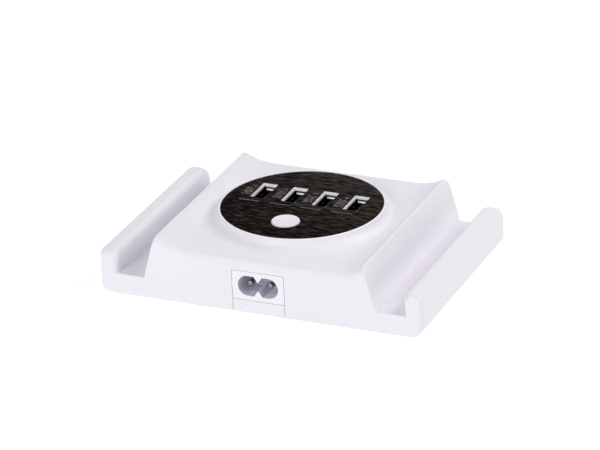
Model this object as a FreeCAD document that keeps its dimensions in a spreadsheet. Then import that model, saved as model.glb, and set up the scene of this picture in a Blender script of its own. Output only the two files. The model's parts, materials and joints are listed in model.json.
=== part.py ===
import FreeCAD, Part
import Sketcher
import math
import os

# Desk charger: a troughed centre block with a groove and a rail on each side for phones to stand in,
# a dark disc with four USB sockets and a push button on top, and a mains inlet in the front wall.
# Millimetres. X runs to the right seen from the front, Y to the back, Z up.
# The origin is on the table under the middle of the case.

doc = FreeCAD.newDocument("desk_charger")

# Driving sizes: name, value, meaning.
SIZES = [
    ("case_width", 137, "over the outer faces of the two rails"),
    ("case_depth", 91, "front face to back face"),
    ("wall", 2.2, "housing wall"),
    ("foot_proud", 0.8, "feet stand this far below the cover"),
    ("fit_gap", 0.1, "gap between fixed pieces that slip together"),
    ("seam_gap", 0.2, "seam that shows round the inlet's face and the cover's tab"),
    ("run_gap", 0.3, "gap round pieces that move"),
    ("weld", 0.4, "depth a boss is sunk into the wall it grows from"),
    ("groove_height", 8.5, "groove floor above the underside of the case"),
    ("groove_width", 11.3, "floor of the groove"),
    ("groove_front_round", 0.7, "front edge of the groove floor"),
    ("groove_back_round", 2.6, "back edge of the groove floor"),
    ("rail_thick", 7.8, "rail across its top"),
    ("rail_height", 17.8, "rail top above the underside of the case"),
    ("rail_front_round", 3.3, "rail top where it turns down at the front"),
    ("rail_back_round", 7.0, "rail top where it turns down at the back"),
    ("rail_outer_round", 2.0, "long outer edge of the rail"),
    ("rail_inner_round", 2.8, "long inner edge of the rail"),
    ("under_round", 5.0, "curve under the long sides"),
    ("under_share", 0.98, "height at which that curve starts, as a share of its radius"),
    ("block_lean", 5.0, "how far the block's side leans in from groove to ridge"),
    ("ridge_height", 26.7, "ridge above the underside of the case"),
    ("ridge_round", 0.8, "rounding along the ridge"),
    ("trough_height", 23.1, "trough floor above the underside of the case"),
    ("curl_run", 13.5, "width of the curl from the flat trough floor up to the ridge"),
    ("block_end_round", 4.0, "trough floor where it turns down at the front and back"),
    ("ring_height", 4.4, "rim above the trough floor"),
    ("ring_flare", 5.1, "how far the ring's foot spreads beyond the rim"),
    ("rim_width", 0.8, "white rim round the disc"),
    ("rim_proud", 0.3, "rim above the disc"),
    ("rim_round", 0.3, "outer edge of the rim"),
    ("disc_radius", 32.6, "dark disc"),
    ("disc_thick", 0.5, "dark disc"),
    ("seat_thick", 1.9, "floor that carries the disc"),
    ("seat_land", 1.6, "width left between the ring's hollow and the disc's edge"),
    ("port_pitch", 13.3, "socket to socket"),
    ("port_setback", 8.1, "socket row behind the disc's centre"),
    ("port_gap", 0.35, "window round each socket shell"),
    ("shell_width", 5.72, "socket shell across"),
    ("shell_length", 13.1, "socket shell along"),
    ("shell_wall", 0.3, "sheet metal of the shell"),
    ("shell_height", 14.0, "shell above its board"),
    ("shell_round", 0.7, "corners of the shell"),
    ("shell_recess", 0.9, "shell mouth below the disc's seat"),
    ("tongue_thick", 1.84, "tongue across"),
    ("tongue_length", 11.1, "tongue along"),
    ("tongue_side_gap", 0.7, "tongue to the nearer wall of the shell"),
    ("tongue_recess", 1.6, "tongue end below the shell's mouth"),
    ("tongue_base", 3.4, "block at the foot of the tongue"),
    ("contact_width", 1.0, "contact blade"),
    ("contact_thick", 0.2, "contact blade"),
    ("contact_recess", 1.0, "contact below the tongue's end"),
    ("contact_outer_pitch", 7.0, "outer pair of contacts"),
    ("contact_inner_pitch", 2.0, "inner pair of contacts"),
    ("button_setback", -16.6, "button in front of the disc's centre"),
    ("button_radius", 5.7, "button cap"),
    ("button_proud", 0.55, "edge of the cap above the disc"),
    ("button_round", 0.5, "edge of the cap"),
    ("button_dish", 0.25, "hollow of the cap's face"),
    ("button_flange", 1.2, "thickness and reach of the flange that keeps the cap in"),
    ("button_travel", 1.2, "press"),
    ("stem_radius", 2.4, "stem under the cap"),
    ("plunger_radius", 1.6, "switch plunger"),
    ("plunger_height", 2.6, "plunger above the switch body"),
    ("plunger_seat", 1.4, "plunger inside the switch body at rest"),
    ("switch_side", 7.0, "switch body, square"),
    ("switch_height", 6.0, "switch body above its board"),
    ("board_thick", 1.6, "both circuit boards"),
    ("usb_board_margin", 1.6, "USB board beyond its posts and its switch"),
    ("post_radius", 2.8, "posts that carry the USB board"),
    ("front_post_angle", 32.0, "front pair of posts, degrees ahead of the X axis"),
    ("back_post_angle", 49.0, "back pair of posts, degrees behind the X axis"),
    ("panel_half", 10.95, "half width of the inlet's face"),
    ("panel_low", 5.5, "inlet face, lower edge above the underside of the case"),
    ("panel_high", 17.6, "inlet face, upper edge above the underside of the case"),
    ("inlet_flange", 1.5, "flange behind the wall, thickness and reach"),
    ("inlet_depth", 14.0, "front face to the back of the inlet"),
    ("inlet_wall", 1.3, "plastic round the inlet's opening"),
    ("socket_height", 11.6, "middle of the opening above the underside of the case"),
    ("socket_depth", 10.6, "depth of the opening"),
    ("lobe_radius", 4.25, "round ends of the figure-8"),
    ("pin_pitch", 8.6, "pin to pin"),
    ("tooth_root", 1.75, "half width, at the root, of the teeth that make the figure-8's waist"),
    ("tooth_tip", 0.6, "radius of a tooth's tip"),
    ("tooth_depth", 2.3, "tooth from root to tip"),
    ("pin_radius", 1.2, "inlet pin"),
    ("pin_recess", 2.0, "pin tip inside the front face"),
    ("pin_tip_round", 0.7, "pin tip"),
    ("tail_width", 1.2, "solder tail of the inlet pin"),
    ("tail_thick", 0.8, "solder tail of the inlet pin"),
    ("tail_setback", 2.2, "tail behind the inlet"),
    ("tail_proud", 1.0, "tail below the power board"),
    ("cover_thick", 2.0, "bottom cover"),
    ("cup_height", 2.0, "screw cups on the cover"),
    ("cup_radius", 4.6, "screw cups on the cover"),
    ("boss_inset", 5.7, "case screws inside the ridge"),
    ("boss_setback", 9.0, "case screws inside the front and back faces"),
    ("boss_radius", 3.4, "screw bosses under the roof"),
    ("case_screw_radius", 1.4, "case screw shank"),
    ("case_screw_length", 10.0, "case screw shank"),
    ("case_head_radius", 2.7, "case screw head"),
    ("case_head_height", 1.8, "case screw head"),
    ("case_head_depth", 2.8, "head's seat above the underside of the cover"),
    ("recess_share", 0.65, "cross recess of a screw, share of its head's radius"),
    ("recess_width", 0.6, "cross recess of a screw"),
    ("recess_depth", 0.8, "cross recess of a screw"),
    ("foot_radius", 5.0, "rubber foot"),
    ("foot_seat", 0.8, "foot let into the cover"),
    ("foot_inset", 13.5, "feet inside the outer faces of the rails"),
    ("foot_setback", 10.0, "feet inside the front and back faces"),
    ("standoff", 2.2, "power board above the cover"),
    ("standoff_radius", 2.6, "bosses under the power board"),
    ("standoff_front", 12.0, "front pair of those bosses behind the board's front edge"),
    ("standoff_back", 18.0, "back pair of those bosses ahead of the board's back edge"),
    ("board_screw_radius", 1.0, "board screw shank"),
    ("board_screw_length", 5.0, "board screw shank"),
    ("board_head_radius", 1.9, "board screw head"),
    ("board_head_height", 1.3, "board screw head"),
    ("board_side_gap", 3.6, "power board to the block's leaning walls"),
    ("board_end_gap", 0.6, "power board to the inlet and to the screw cups"),
    ("board_back_gap", 1.0, "power board and transformer to the back wall"),
    ("link_width", 12.7, "plug between the boards"),
    ("link_depth", 5.0, "plug between the boards"),
    ("link_setback", 3.2, "plug between the boards, behind the sockets"),
    ("head_room", 0.7, "tallest power part to the roof"),
    ("part_gap", 0.6, "power part to power part"),
    ("strip_gap", 3.1, "USB board to the strip of power parts beside it"),
    ("coil_gap", 2.5, "USB board to the transformer behind it"),
    ("core_width", 20.0, "transformer core"),
    ("core_share", 0.38, "transformer core, share of the winding's depth"),
    ("core_leg", 5.0, "middle leg of the core"),
    ("core_yoke", 2.5, "outer legs and yokes of the core"),
    ("bobbin_wall", 0.6, "bobbin tube"),
    ("bobbin_flange", 0.8, "bobbin flanges"),
    ("winding_build", 3.6, "wire wound on each side of the bobbin"),
    ("bulk_clear", 0.4, "mains capacitors inside the narrower of the spaces that they stand in"),
    ("output_radius", 4.0, "output capacitors"),
    ("output_drop", 2.0, "output capacitors below the mains ones"),
    ("can_groove", 0.5, "rolled groove near the foot of a capacitor can"),
    ("fuse_depth", 4.2, "fuse along the board"),
    ("fuse_drop", 6.0, "fuse below the tallest part"),
    ("line_capacitor_depth", 6.0, "line capacitor along the board"),
    ("line_capacitor_drop", 2.5, "line capacitor below the tallest part"),
    ("choke_depth", 13.0, "line choke along the board"),
    ("choke_drop", 1.5, "line choke below the tallest part"),
    ("bridge_depth", 6.4, "bridge rectifier along the board"),
    ("bridge_drop", 11.0, "bridge rectifier below the tallest part"),
    ("sink_depth", 16.0, "heat sinks along the board"),
    ("sink_share", 0.15, "heat sink, share of its strip's width"),
    ("sink_drop", 2.4, "heat sinks below the tallest part"),
    ("device_depth", 10.0, "transistor and rectifier along the board"),
    ("device_share", 0.42, "transistor and rectifier, share of their strip's width"),
    ("device_drop", 4.4, "transistor and rectifier below the tallest part"),
    ("optocoupler_depth", 4.6, "optocoupler along the board"),
    ("optocoupler_drop", 10.9, "optocoupler below the tallest part"),
]

# Places worked out from the driving sizes: name, formula.
PLACES = [
    ("outer_x", "sizes.case_width / 2"),
    ("face_y", "sizes.case_depth / 2"),
    ("rail_x", "outer_x - sizes.rail_thick"),
    ("block_x", "rail_x - sizes.groove_width"),
    ("ridge_x", "block_x - sizes.block_lean"),
    ("lean", "sizes.block_lean / (sizes.ridge_height - sizes.groove_height)"),
    ("block_foot_x", "block_x + lean * sizes.groove_height"),
    ("slab_x", "outer_x - sizes.rail_thick / 2"),
    ("base_z", "sizes.foot_proud"),
    ("cover_z", "base_z + sizes.cover_thick"),
    ("groove_z", "base_z + sizes.groove_height"),
    ("rail_z", "base_z + sizes.rail_height"),
    ("rail_inner_back_round", "sizes.rail_back_round - sizes.wall"),
    ("rail_inner_z", "rail_z - sizes.wall"),
    ("ridge_z", "base_z + sizes.ridge_height"),
    ("trough_z", "base_z + sizes.trough_height"),
    ("trough_half", "ridge_x - sizes.curl_run"),
    ("curl_rise", "sizes.ridge_height - sizes.trough_height"),
    ("curl_radius", "(sizes.curl_run ^ 2 + curl_rise ^ 2) / (2 * curl_rise)"),
    ("curl_z", "trough_z + curl_radius"),
    ("beyond_x", "outer_x + sizes.wall"),
    ("under_x", "outer_x - sizes.under_round"),
    ("under_height", "sizes.under_share * sizes.under_round"),
    ("under_z", "base_z + under_height"),
    ("under_end_x", "under_x + sqrt(sizes.under_round ^ 2 - under_height ^ 2)"),
    ("cover_edge_x", "under_x + sqrt(sizes.under_round ^ 2 - (under_z - cover_z) ^ 2)"),
    ("rim_radius", "sizes.disc_radius + sizes.fit_gap + sizes.rim_width"),
    ("ring_radius", "rim_radius + sizes.ring_flare"),
    ("rim_z", "trough_z + sizes.ring_height"),
    ("rim_side_z", "rim_z - sizes.rim_round"),
    ("rim_top_radius", "rim_radius - sizes.rim_round"),
    ("flank_rise", "rim_side_z - trough_z"),
    ("flank_radius", "(sizes.ring_flare ^ 2 + flank_rise ^ 2) / (2 * flank_rise)"),
    ("flank_z", "trough_z + flank_radius"),
    ("disc_z", "rim_z - sizes.rim_proud"),
    ("seat_z", "disc_z - sizes.disc_thick"),
    ("seat_under_z", "seat_z - sizes.seat_thick"),
    ("hollow_radius", "sizes.disc_radius - sizes.seat_land"),
    ("roof_z", "trough_z - sizes.wall"),
    ("inner_y", "face_y - sizes.wall"),
    ("inner_ridge_x", "ridge_x - sizes.wall"),
    ("inner_ridge_z", "ridge_z - 2 * sizes.wall"),
    ("inner_foot_x", "block_foot_x - lean * sizes.cover_thick - sizes.wall * sqrt(1 + lean ^ 2)"),
    ("mouth_z", "seat_z - sizes.shell_recess"),
    ("usb_board_top_z", "mouth_z - sizes.shell_height"),
    ("usb_board_z", "usb_board_top_z - sizes.board_thick"),
    ("power_board_z", "cover_z + sizes.standoff"),
    ("power_board_top_z", "power_board_z + sizes.board_thick"),
    ("boss_x", "ridge_x - sizes.boss_inset"),
    ("boss_y", "face_y - sizes.boss_setback"),
    ("foot_x", "outer_x - sizes.foot_inset"),
    ("foot_y", "face_y - sizes.foot_setback"),
    ("notch_x", "boss_x - sizes.cup_radius - sizes.board_end_gap"),
    ("notch_y", "boss_y - sizes.cup_radius - sizes.board_end_gap"),
    ("cup_z", "cover_z + sizes.cup_height"),
    ("case_head_z", "base_z + sizes.case_head_depth"),
    ("panel_low_z", "base_z + sizes.panel_low"),
    ("panel_high_z", "base_z + sizes.panel_high"),
    ("socket_z", "base_z + sizes.socket_height"),
    ("socket_high_z", "socket_z + sizes.lobe_radius"),
    ("socket_low_z", "socket_z - sizes.lobe_radius"),
    ("tooth_high_z", "socket_high_z - sizes.tooth_depth + sizes.tooth_tip"),
    ("tooth_low_z", "socket_low_z + sizes.tooth_depth - sizes.tooth_tip"),
    ("inlet_back_y", "sizes.inlet_depth - face_y"),
    ("pin_x", "sizes.pin_pitch / 2"),
    ("tail_y", "inlet_back_y + sizes.tail_setback"),
    ("power_board_half", "inner_foot_x - sizes.board_side_gap"),
    ("power_board_front", "inlet_back_y + sizes.board_end_gap"),
    ("power_board_back", "inner_y - sizes.board_back_gap"),
    ("standoff_front", "power_board_front + sizes.standoff_front"),
    ("standoff_back", "power_board_back - sizes.standoff_back"),
    ("post_circle", "hollow_radius - sizes.post_radius - sizes.run_gap"),
    ("front_post_x", "post_circle * cos(sizes.front_post_angle * 1 deg)"),
    ("front_post_y", "-post_circle * sin(sizes.front_post_angle * 1 deg)"),
    ("back_post_x", "post_circle * cos(sizes.back_post_angle * 1 deg)"),
    ("back_post_y", "post_circle * sin(sizes.back_post_angle * 1 deg)"),
    ("usb_board_half", "front_post_x + sizes.post_radius + sizes.usb_board_margin"),
    ("usb_board_front", "sizes.button_setback - sizes.switch_side / 2 - 2 * sizes.usb_board_margin"),
    ("usb_board_back", "back_post_y + sizes.post_radius + sizes.usb_board_margin"),
    ("strip_width", "inner_ridge_x - usb_board_half - sizes.strip_gap"),
    ("strip_x", "inner_ridge_x - strip_width / 2"),
    ("standoff_x", "usb_board_half + sizes.strip_gap - sizes.board_head_radius - sizes.part_gap"),
    ("coil_depth", "inner_y - sizes.board_back_gap - usb_board_back - sizes.coil_gap"),
    ("core_thick", "coil_depth * sizes.core_share"),
    ("core_y", "inner_y - sizes.board_back_gap - coil_depth / 2"),
    ("bulk_radius", "min(strip_width; coil_depth) / 2 - sizes.bulk_clear"),
    ("sink_thick", "strip_width * sizes.sink_share"),
    ("device_thick", "strip_width * sizes.device_share"),
    ("link_y", "sizes.port_setback + sizes.shell_length / 2 + sizes.link_setback + sizes.link_depth / 2"),
    ("flange_top_z", "seat_under_z - sizes.run_gap / 2"),
    ("flange_low_z", "flange_top_z - sizes.button_flange"),
    ("flange_radius", "sizes.button_radius + sizes.button_flange"),
    ("cap_rim_z", "disc_z + sizes.button_proud"),
    ("cap_side_z", "cap_rim_z - sizes.button_round"),
    ("cap_rim_radius", "sizes.button_radius - sizes.button_round"),
    ("dish_z", "cap_rim_z - sizes.button_dish"),
    ("dish_radius", "(cap_rim_radius ^ 2 + sizes.button_dish ^ 2) / (2 * sizes.button_dish)"),
    ("dish_centre_z", "dish_z + dish_radius"),
    ("switch_z", "usb_board_top_z + sizes.switch_height"),
    ("plunger_top_z", "switch_z + sizes.plunger_height"),
    ("plunger_low_z", "switch_z - sizes.plunger_seat"),
    ("foot_low_radius", "sizes.foot_radius - sizes.foot_seat / 2"),
    ("foot_top_z", "base_z + sizes.foot_seat"),
    ("shell_inner_width", "sizes.shell_width - 2 * sizes.shell_wall"),
    ("shell_inner_length", "sizes.shell_length - 2 * sizes.shell_wall"),
    ("tongue_z", "mouth_z - sizes.tongue_recess"),
    ("tongue_x", "shell_inner_width / 2 - sizes.tongue_side_gap - sizes.tongue_thick"),
    ("core_leg_half", "sizes.core_leg / 2"),
    ("window_width", "(sizes.core_width - sizes.core_leg) / 2 - sizes.core_yoke"),
    ("part_height", "roof_z - sizes.head_room - power_board_top_z"),
    ("window_height", "part_height - 2 * sizes.core_yoke"),
    ("bobbin_z", "power_board_top_z + sizes.core_yoke + sizes.fit_gap"),
    ("bobbin_height", "window_height - 2 * sizes.fit_gap"),
    ("tube_half_x", "core_leg_half + sizes.fit_gap + sizes.bobbin_wall"),
    ("tube_half_y", "core_thick / 2 + sizes.fit_gap + sizes.bobbin_wall"),
    ("bulk_x", "sizes.core_width / 2 + sizes.part_gap + bulk_radius"),
    ("output_x", "sizes.core_width / 2 + sizes.part_gap + sizes.output_radius"),
    ("fuse_y", "power_board_front + sizes.part_gap + sizes.fuse_depth / 2"),
    ("line_capacitor_y", "fuse_y + (sizes.fuse_depth + sizes.line_capacitor_depth) / 2 + sizes.part_gap"),
    ("choke_y", "line_capacitor_y + (sizes.line_capacitor_depth + sizes.choke_depth) / 2 + sizes.part_gap"),
    ("bridge_y", "choke_y + (sizes.choke_depth + sizes.bridge_depth) / 2 + sizes.part_gap"),
    ("bulk_y", "bridge_y + sizes.bridge_depth / 2 + bulk_radius + sizes.part_gap"),
    ("switching_y", "power_board_front + sizes.part_gap + sizes.sink_depth / 2"),
    ("optocoupler_y", "switching_y + (sizes.sink_depth + sizes.optocoupler_depth) / 2 + sizes.part_gap"),
    ("output_y", "optocoupler_y + (sizes.sink_depth + sizes.optocoupler_depth) / 2 + sizes.part_gap"),
    ("sink_x", "inner_ridge_x - sink_thick / 2"),
    ("device_x", "inner_ridge_x - sink_thick - device_thick / 2"),
]


def fill_sheet(label, rows):
    """Spreadsheet with one alias for each row."""
    sheet = doc.addObject("Spreadsheet::Sheet", label)
    for number, row in enumerate(rows, start=1):
        sheet.set(f"A{number}", row[0])
        sheet.setAlias(f"B{number}", row[0])
        sheet.set(f"B{number}", str(row[1]))
    doc.recompute()
    return sheet


sizes = fill_sheet("sizes", SIZES)
places = fill_sheet("places", [(name, "=" + formula) for name, formula in PLACES])
SIZE_NAMES = {row[0] for row in SIZES}


def value(name):
    """Number behind a size or place; a leading minus mirrors it."""
    if name == "0":
        return 0.0
    plain = name.lstrip("-")
    sheet = sizes if plain in SIZE_NAMES else places
    number = float(getattr(sheet, plain))
    return -number if name.startswith("-") else number


def bound(name):
    """Expression for a size or place; a leading minus mirrors it."""
    plain = name.lstrip("-")
    sheet = "sizes" if plain in SIZE_NAMES else "places"
    sign = "-" if name.startswith("-") else ""
    return f"{sign}{sheet}.{plain}"


def bind(item, **expressions):
    """Ties properties of an object to expressions; move_x, move_y and move_z stand for its place."""
    for key, expression in expressions.items():
        path = key
        if key.startswith("move_"):
            path = f"Placement.Base.{key[-1]}"
        item.setExpression(path, expression)
    return item


def new_body(label, **expressions):
    body = doc.addObject("PartDesign::Body", label)
    return bind(body, **expressions)


def sketch_on(body, role):
    """Empty sketch on one of the body's own origin planes."""
    plane = [item for item in body.Origin.OriginFeatures if item.Role == role][0]
    sketch = body.newObject("Sketcher::SketchObject", body.Name + "_sketch")
    sketch.AttachmentSupport = [(plane, "")]
    sketch.MapMode = "FlatFace"
    return sketch


def pin_point(sketch, edge, end, x_name, y_name):
    """Holds one point of a sketch at two named distances from the origin."""
    for kind, name, axis in (("DistanceX", x_name, -2), ("DistanceY", y_name, -1)):
        if name == "0":
            sketch.addConstraint(Sketcher.Constraint("PointOnObject", edge, end, axis))
            continue
        index = sketch.addConstraint(Sketcher.Constraint(kind, -1, 1, edge, end, value(name)))
        sketch.setExpression(f"Constraints[{index}]", bound(name))


def outline(sketch, corners, rounds=None):
    """Closed outline through named corners. rounds maps a corner's index to the centre of the arc that
    starts there, with True where that arc turns left."""
    rounds = rounds or {}
    points = [FreeCAD.Vector(value(x), value(y), 0) for x, y in corners]
    count = len(corners)
    starts = []
    ends = []
    for index in range(count):
        first = points[index]
        last = points[(index + 1) % count]
        if index not in rounds:
            sketch.addGeometry(Part.LineSegment(first, last))
            starts.append(1)
            ends.append(2)
            continue
        centre_x, centre_y, left = rounds[index]
        centre = FreeCAD.Vector(value(centre_x), value(centre_y), 0)
        circle = Part.Circle(centre, FreeCAD.Vector(0, 0, 1), (first - centre).Length)
        angles = [math.atan2(point.y - centre.y, point.x - centre.x) for point in (first, last)]
        if not left:
            angles.reverse()
        if angles[1] < angles[0]:
            angles[1] += 2 * math.pi
        sketch.addGeometry(Part.ArcOfCircle(circle, angles[0], angles[1]))
        starts.append(1 if left else 2)
        ends.append(2 if left else 1)
    for index in range(count):
        following = (index + 1) % count
        joint = Sketcher.Constraint("Coincident", index, ends[index], following, starts[following])
        sketch.addConstraint(joint)
    for index, (x_name, y_name) in enumerate(corners):
        pin_point(sketch, index, starts[index], x_name, y_name)
    for index, (centre_x, centre_y, left) in rounds.items():
        chord = points[(index + 1) % count] - points[index]
        upright = abs(chord.y) > abs(chord.x) / 10
        kind, name, axis = ("DistanceX", centre_x, -2) if upright else ("DistanceY", centre_y, -1)
        if name == "0":
            sketch.addConstraint(Sketcher.Constraint("PointOnObject", index, 3, axis))
            continue
        number = sketch.addConstraint(Sketcher.Constraint(kind, -1, 1, index, 3, value(name)))
        sketch.setExpression(f"Constraints[{number}]", bound(name))
    return sketch


def pad(body, sketch, length, side="Symmetric"):
    feature = body.newObject("PartDesign::Pad", body.Name + "_pad")
    feature.Profile = sketch
    feature.SideType = side
    bind(feature, Length=length)
    doc.recompute()
    return feature


def pocket(body, sketch, length):
    """Cut to both sides of the sketch."""
    feature = body.newObject("PartDesign::Pocket", body.Name + "_pocket")
    feature.Profile = sketch
    feature.SideType = "Symmetric"
    bind(feature, Length=length)
    doc.recompute()
    return feature


def revolve(body, sketch):
    """Full turn about the upright axis of the body."""
    feature = body.newObject("PartDesign::Revolution", body.Name + "_turn")
    feature.Profile = sketch
    feature.ReferenceAxis = (sketch, ["V_Axis"])
    feature.Angle = 360
    doc.recompute()
    return feature


def round_edges(body, feature, radius, wanted):
    """Fillet on the edges of a body's last feature for which wanted(edge) is true."""
    names = [f"Edge{index}" for index, edge in enumerate(feature.Shape.Edges, start=1) if wanted(edge)]
    fillet = body.newObject("PartDesign::Fillet", body.Name + "_round")
    fillet.Base = (feature, names)
    bind(fillet, Radius=radius)
    doc.recompute()
    return fillet


def turned(label, corners, rounds=None, **expressions):
    """Body turned about its own upright axis from a half outline."""
    body = new_body(label, **expressions)
    revolve(body, outline(sketch_on(body, "XZ_Plane"), corners, rounds))
    return body


def box(label, width, depth, height, x, y, z):
    """Block centred on x and y and standing on z; each argument is an expression."""
    block = doc.addObject("Part::Box", label)
    bind(block, Length=width, Width=depth, Height=height)
    return bind(block, move_x=f"({x}) - ({width}) / 2", move_y=f"({y}) - ({depth}) / 2", move_z=z)


def upright(label, radius, height, x, y, z):
    """Upright cylinder standing on z."""
    rod = doc.addObject("Part::Cylinder", label)
    return bind(rod, Radius=radius, Height=height, move_x=x, move_y=y, move_z=z)


def rod_along_y(label, radius, length, x, y, z):
    """Cylinder that starts at y and runs towards the back."""
    rod = doc.addObject("Part::Cylinder", label)
    rod.Placement = FreeCAD.Placement(FreeCAD.Vector(), FreeCAD.Rotation(FreeCAD.Vector(1, 0, 0), -90))
    return bind(rod, Radius=radius, Height=length, move_x=x, move_y=y, move_z=z)


def fuse(label, items):
    joined = doc.addObject("Part::MultiFuse", label)
    joined.Shapes = items
    joined.Refine = True
    return joined


def cut(label, base, tools):
    """base less every tool."""
    result = doc.addObject("Part::Cut", label)
    result.Base = base
    result.Tool = tools[0] if len(tools) == 1 else fuse(label + "_tools", tools)
    result.Refine = True
    return result


def group(label, items):
    """Several like solids under one name."""
    bundle = doc.addObject("Part::Compound", label)
    bundle.Links = items
    return bundle


def soften(label, base, radius, wanted):
    """Part fillet on the edges of base for which wanted(edge) is true."""
    doc.recompute()
    result = doc.addObject("Part::Fillet", label)
    result.Base = base
    size = value(radius)
    chosen = [index for index, edge in enumerate(base.Shape.Edges, start=1) if wanted(edge)]
    result.Edges = [(index, size, size) for index in chosen]
    return result


def is_upright(edge):
    return len(edge.Vertexes) == 2 and abs(edge.tangentAt(edge.FirstParameter).z) > 0.999


def top_end(level, face):
    """Test for an edge that lies in one upright face across the case, at a level or above it."""
    def wanted(edge):
        box_of_edge = edge.BoundBox
        near = abs(box_of_edge.YMin - value(face)) < 1e-4 and box_of_edge.YLength < 1e-4
        return near and box_of_edge.ZMin > value(level) - 1e-4
    return wanted


sub_parts = []


def keep(item):
    """Marks an object as a sub-part under its own label."""
    sub_parts.append(item)
    return item


SIDES = (("left", "-"), ("right", ""))
CORNERS = (("front_left", -1, -1), ("front_right", 1, -1), ("back_left", -1, 1), ("back_right", 1, 1))


# Top housing: outer form

def make_block():
    """Centre block: leaning sides, and a trough that curls up to a ridge on each side."""
    body = new_body("block")
    corners = [
        ("-block_foot_x", "base_z"), ("block_foot_x", "base_z"), ("ridge_x", "ridge_z"),
        ("trough_half", "trough_z"), ("-trough_half", "trough_z"), ("-ridge_x", "ridge_z"),
    ]
    rounds = {2: ("trough_half", "curl_z", False), 4: ("-trough_half", "curl_z", False)}
    solid = pad(body, outline(sketch_on(body, "XZ_Plane"), corners, rounds), "sizes.case_depth")

    front = top_end("trough_z", "-face_y")
    back = top_end("trough_z", "face_y")
    solid = round_edges(body, solid, "sizes.block_end_round", lambda edge: front(edge) or back(edge))

    def ridge(edge):
        middle = edge.CenterOfMass
        on_ridge = abs(abs(middle.x) - value("ridge_x")) < 1e-4
        return on_ridge and abs(middle.z - value("ridge_z")) < 1e-4 and edge.BoundBox.YLength > 1

    round_edges(body, solid, "sizes.ridge_round", ridge)
    return body


def make_rail(side, sign):
    """Rail beside a groove, rounded along its top and cut in a curve under its outer face."""
    mirrored = sign == "-"
    body = new_body(f"rail_{side}")
    corners = [
        (sign + "rail_x", "base_z"), (sign + "outer_x", "base_z"), (sign + "outer_x", "rail_z"),
        (sign + "rail_x", "rail_z"),
    ]
    solid = pad(body, outline(sketch_on(body, "XZ_Plane"), corners), "sizes.case_depth")

    solid = round_edges(body, solid, "sizes.rail_front_round", top_end("rail_z", "-face_y"))
    solid = round_edges(body, solid, "sizes.rail_back_round", top_end("rail_z", "face_y"))

    def long_edge(name):
        def wanted(edge):
            middle = edge.CenterOfMass
            on_side = abs(middle.x - value(sign + name)) < 1e-4
            return on_side and abs(middle.z - value("rail_z")) < 1e-4
        return wanted

    solid = round_edges(body, solid, "sizes.rail_outer_round", long_edge("outer_x"))
    round_edges(body, solid, "sizes.rail_inner_round", long_edge("rail_x"))
    corners = [
        (sign + "under_end_x", "base_z"), (sign + "outer_x", "under_z"), (sign + "beyond_x", "under_z"),
        (sign + "beyond_x", "0"), (sign + "under_end_x", "0"),
    ]
    rounds = {0: (sign + "under_x", "under_z", not mirrored)}
    pocket(body, outline(sketch_on(body, "XZ_Plane"), corners, rounds), "2 * sizes.case_depth")
    return body


def make_slab():
    """Floor of both grooves."""
    slab = box("slab_block", "2 * places.slab_x", "sizes.case_depth", "sizes.groove_height",
               "0", "0", "places.base_z")

    slab = soften("slab_front", slab, "groove_front_round", top_end("groove_z", "-face_y"))
    return soften("slab", slab, "groove_back_round", top_end("groove_z", "face_y"))


def make_ring():
    """Raised ring round the disc: a rim, then one concave sweep down to the trough."""
    corners = [
        ("0", "roof_z"), ("ring_radius", "roof_z"), ("ring_radius", "trough_z"),
        ("rim_radius", "rim_side_z"), ("rim_top_radius", "rim_z"), ("0", "rim_z"),
    ]
    rounds = {2: ("ring_radius", "flank_z", False), 3: ("rim_top_radius", "rim_side_z", True)}
    return turned("ring", corners, rounds)


# Top housing: hollow, bosses and openings

def make_hollow():
    """Space inside the housing: block, groove floors, rails, disc seat and the bay for the cover."""
    body = new_body("block_hollow")
    corners = [
        ("-inner_foot_x", "cover_z"), ("inner_foot_x", "cover_z"), ("inner_ridge_x", "inner_ridge_z"),
        ("trough_half", "roof_z"), ("-trough_half", "roof_z"), ("-inner_ridge_x", "inner_ridge_z"),
    ]
    pad(body, outline(sketch_on(body, "XZ_Plane"), corners), "2 * places.inner_y")
    pieces = [body]
    pieces.append(box("floor_hollow", "2 * (places.outer_x - sizes.wall)", "2 * places.inner_y",
                      "sizes.groove_height - sizes.wall - sizes.cover_thick", "0", "0", "places.cover_z"))
    for side, sign in SIDES:
        hollow = box(f"rail_hollow_{side}", "sizes.rail_thick - 2 * sizes.wall", "2 * places.inner_y",
                     "sizes.rail_height - sizes.wall - sizes.cover_thick",
                     f"{sign}(places.outer_x - sizes.rail_thick / 2)", "0", "places.cover_z")
        pieces.append(soften(f"rail_hollow_{side}_round", hollow, "rail_inner_back_round",
                             top_end("rail_inner_z", "inner_y")))
    pieces.append(upright("seat_hollow", "places.hollow_radius",
                          "places.seat_under_z - places.roof_z + sizes.weld", "0", "0",
                          "places.roof_z - sizes.weld"))
    pieces.append(box("cover_bay", "2 * sizes.case_width", "2 * places.inner_y", "places.cover_z",
                      "0", "0", "0"))
    return pieces


def case_boss_place(side_x, side_y):
    return f"{side_x} * places.boss_x", f"{side_y} * places.boss_y"


def usb_post_place(side_x, side_y):
    row = "front" if side_y < 0 else "back"
    return f"{side_x} * places.{row}_post_x", f"places.{row}_post_y"


def standoff_place(side_x, side_y):
    row = "front" if side_y < 0 else "back"
    return f"{side_x} * places.standoff_x", f"places.standoff_{row}"


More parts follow.
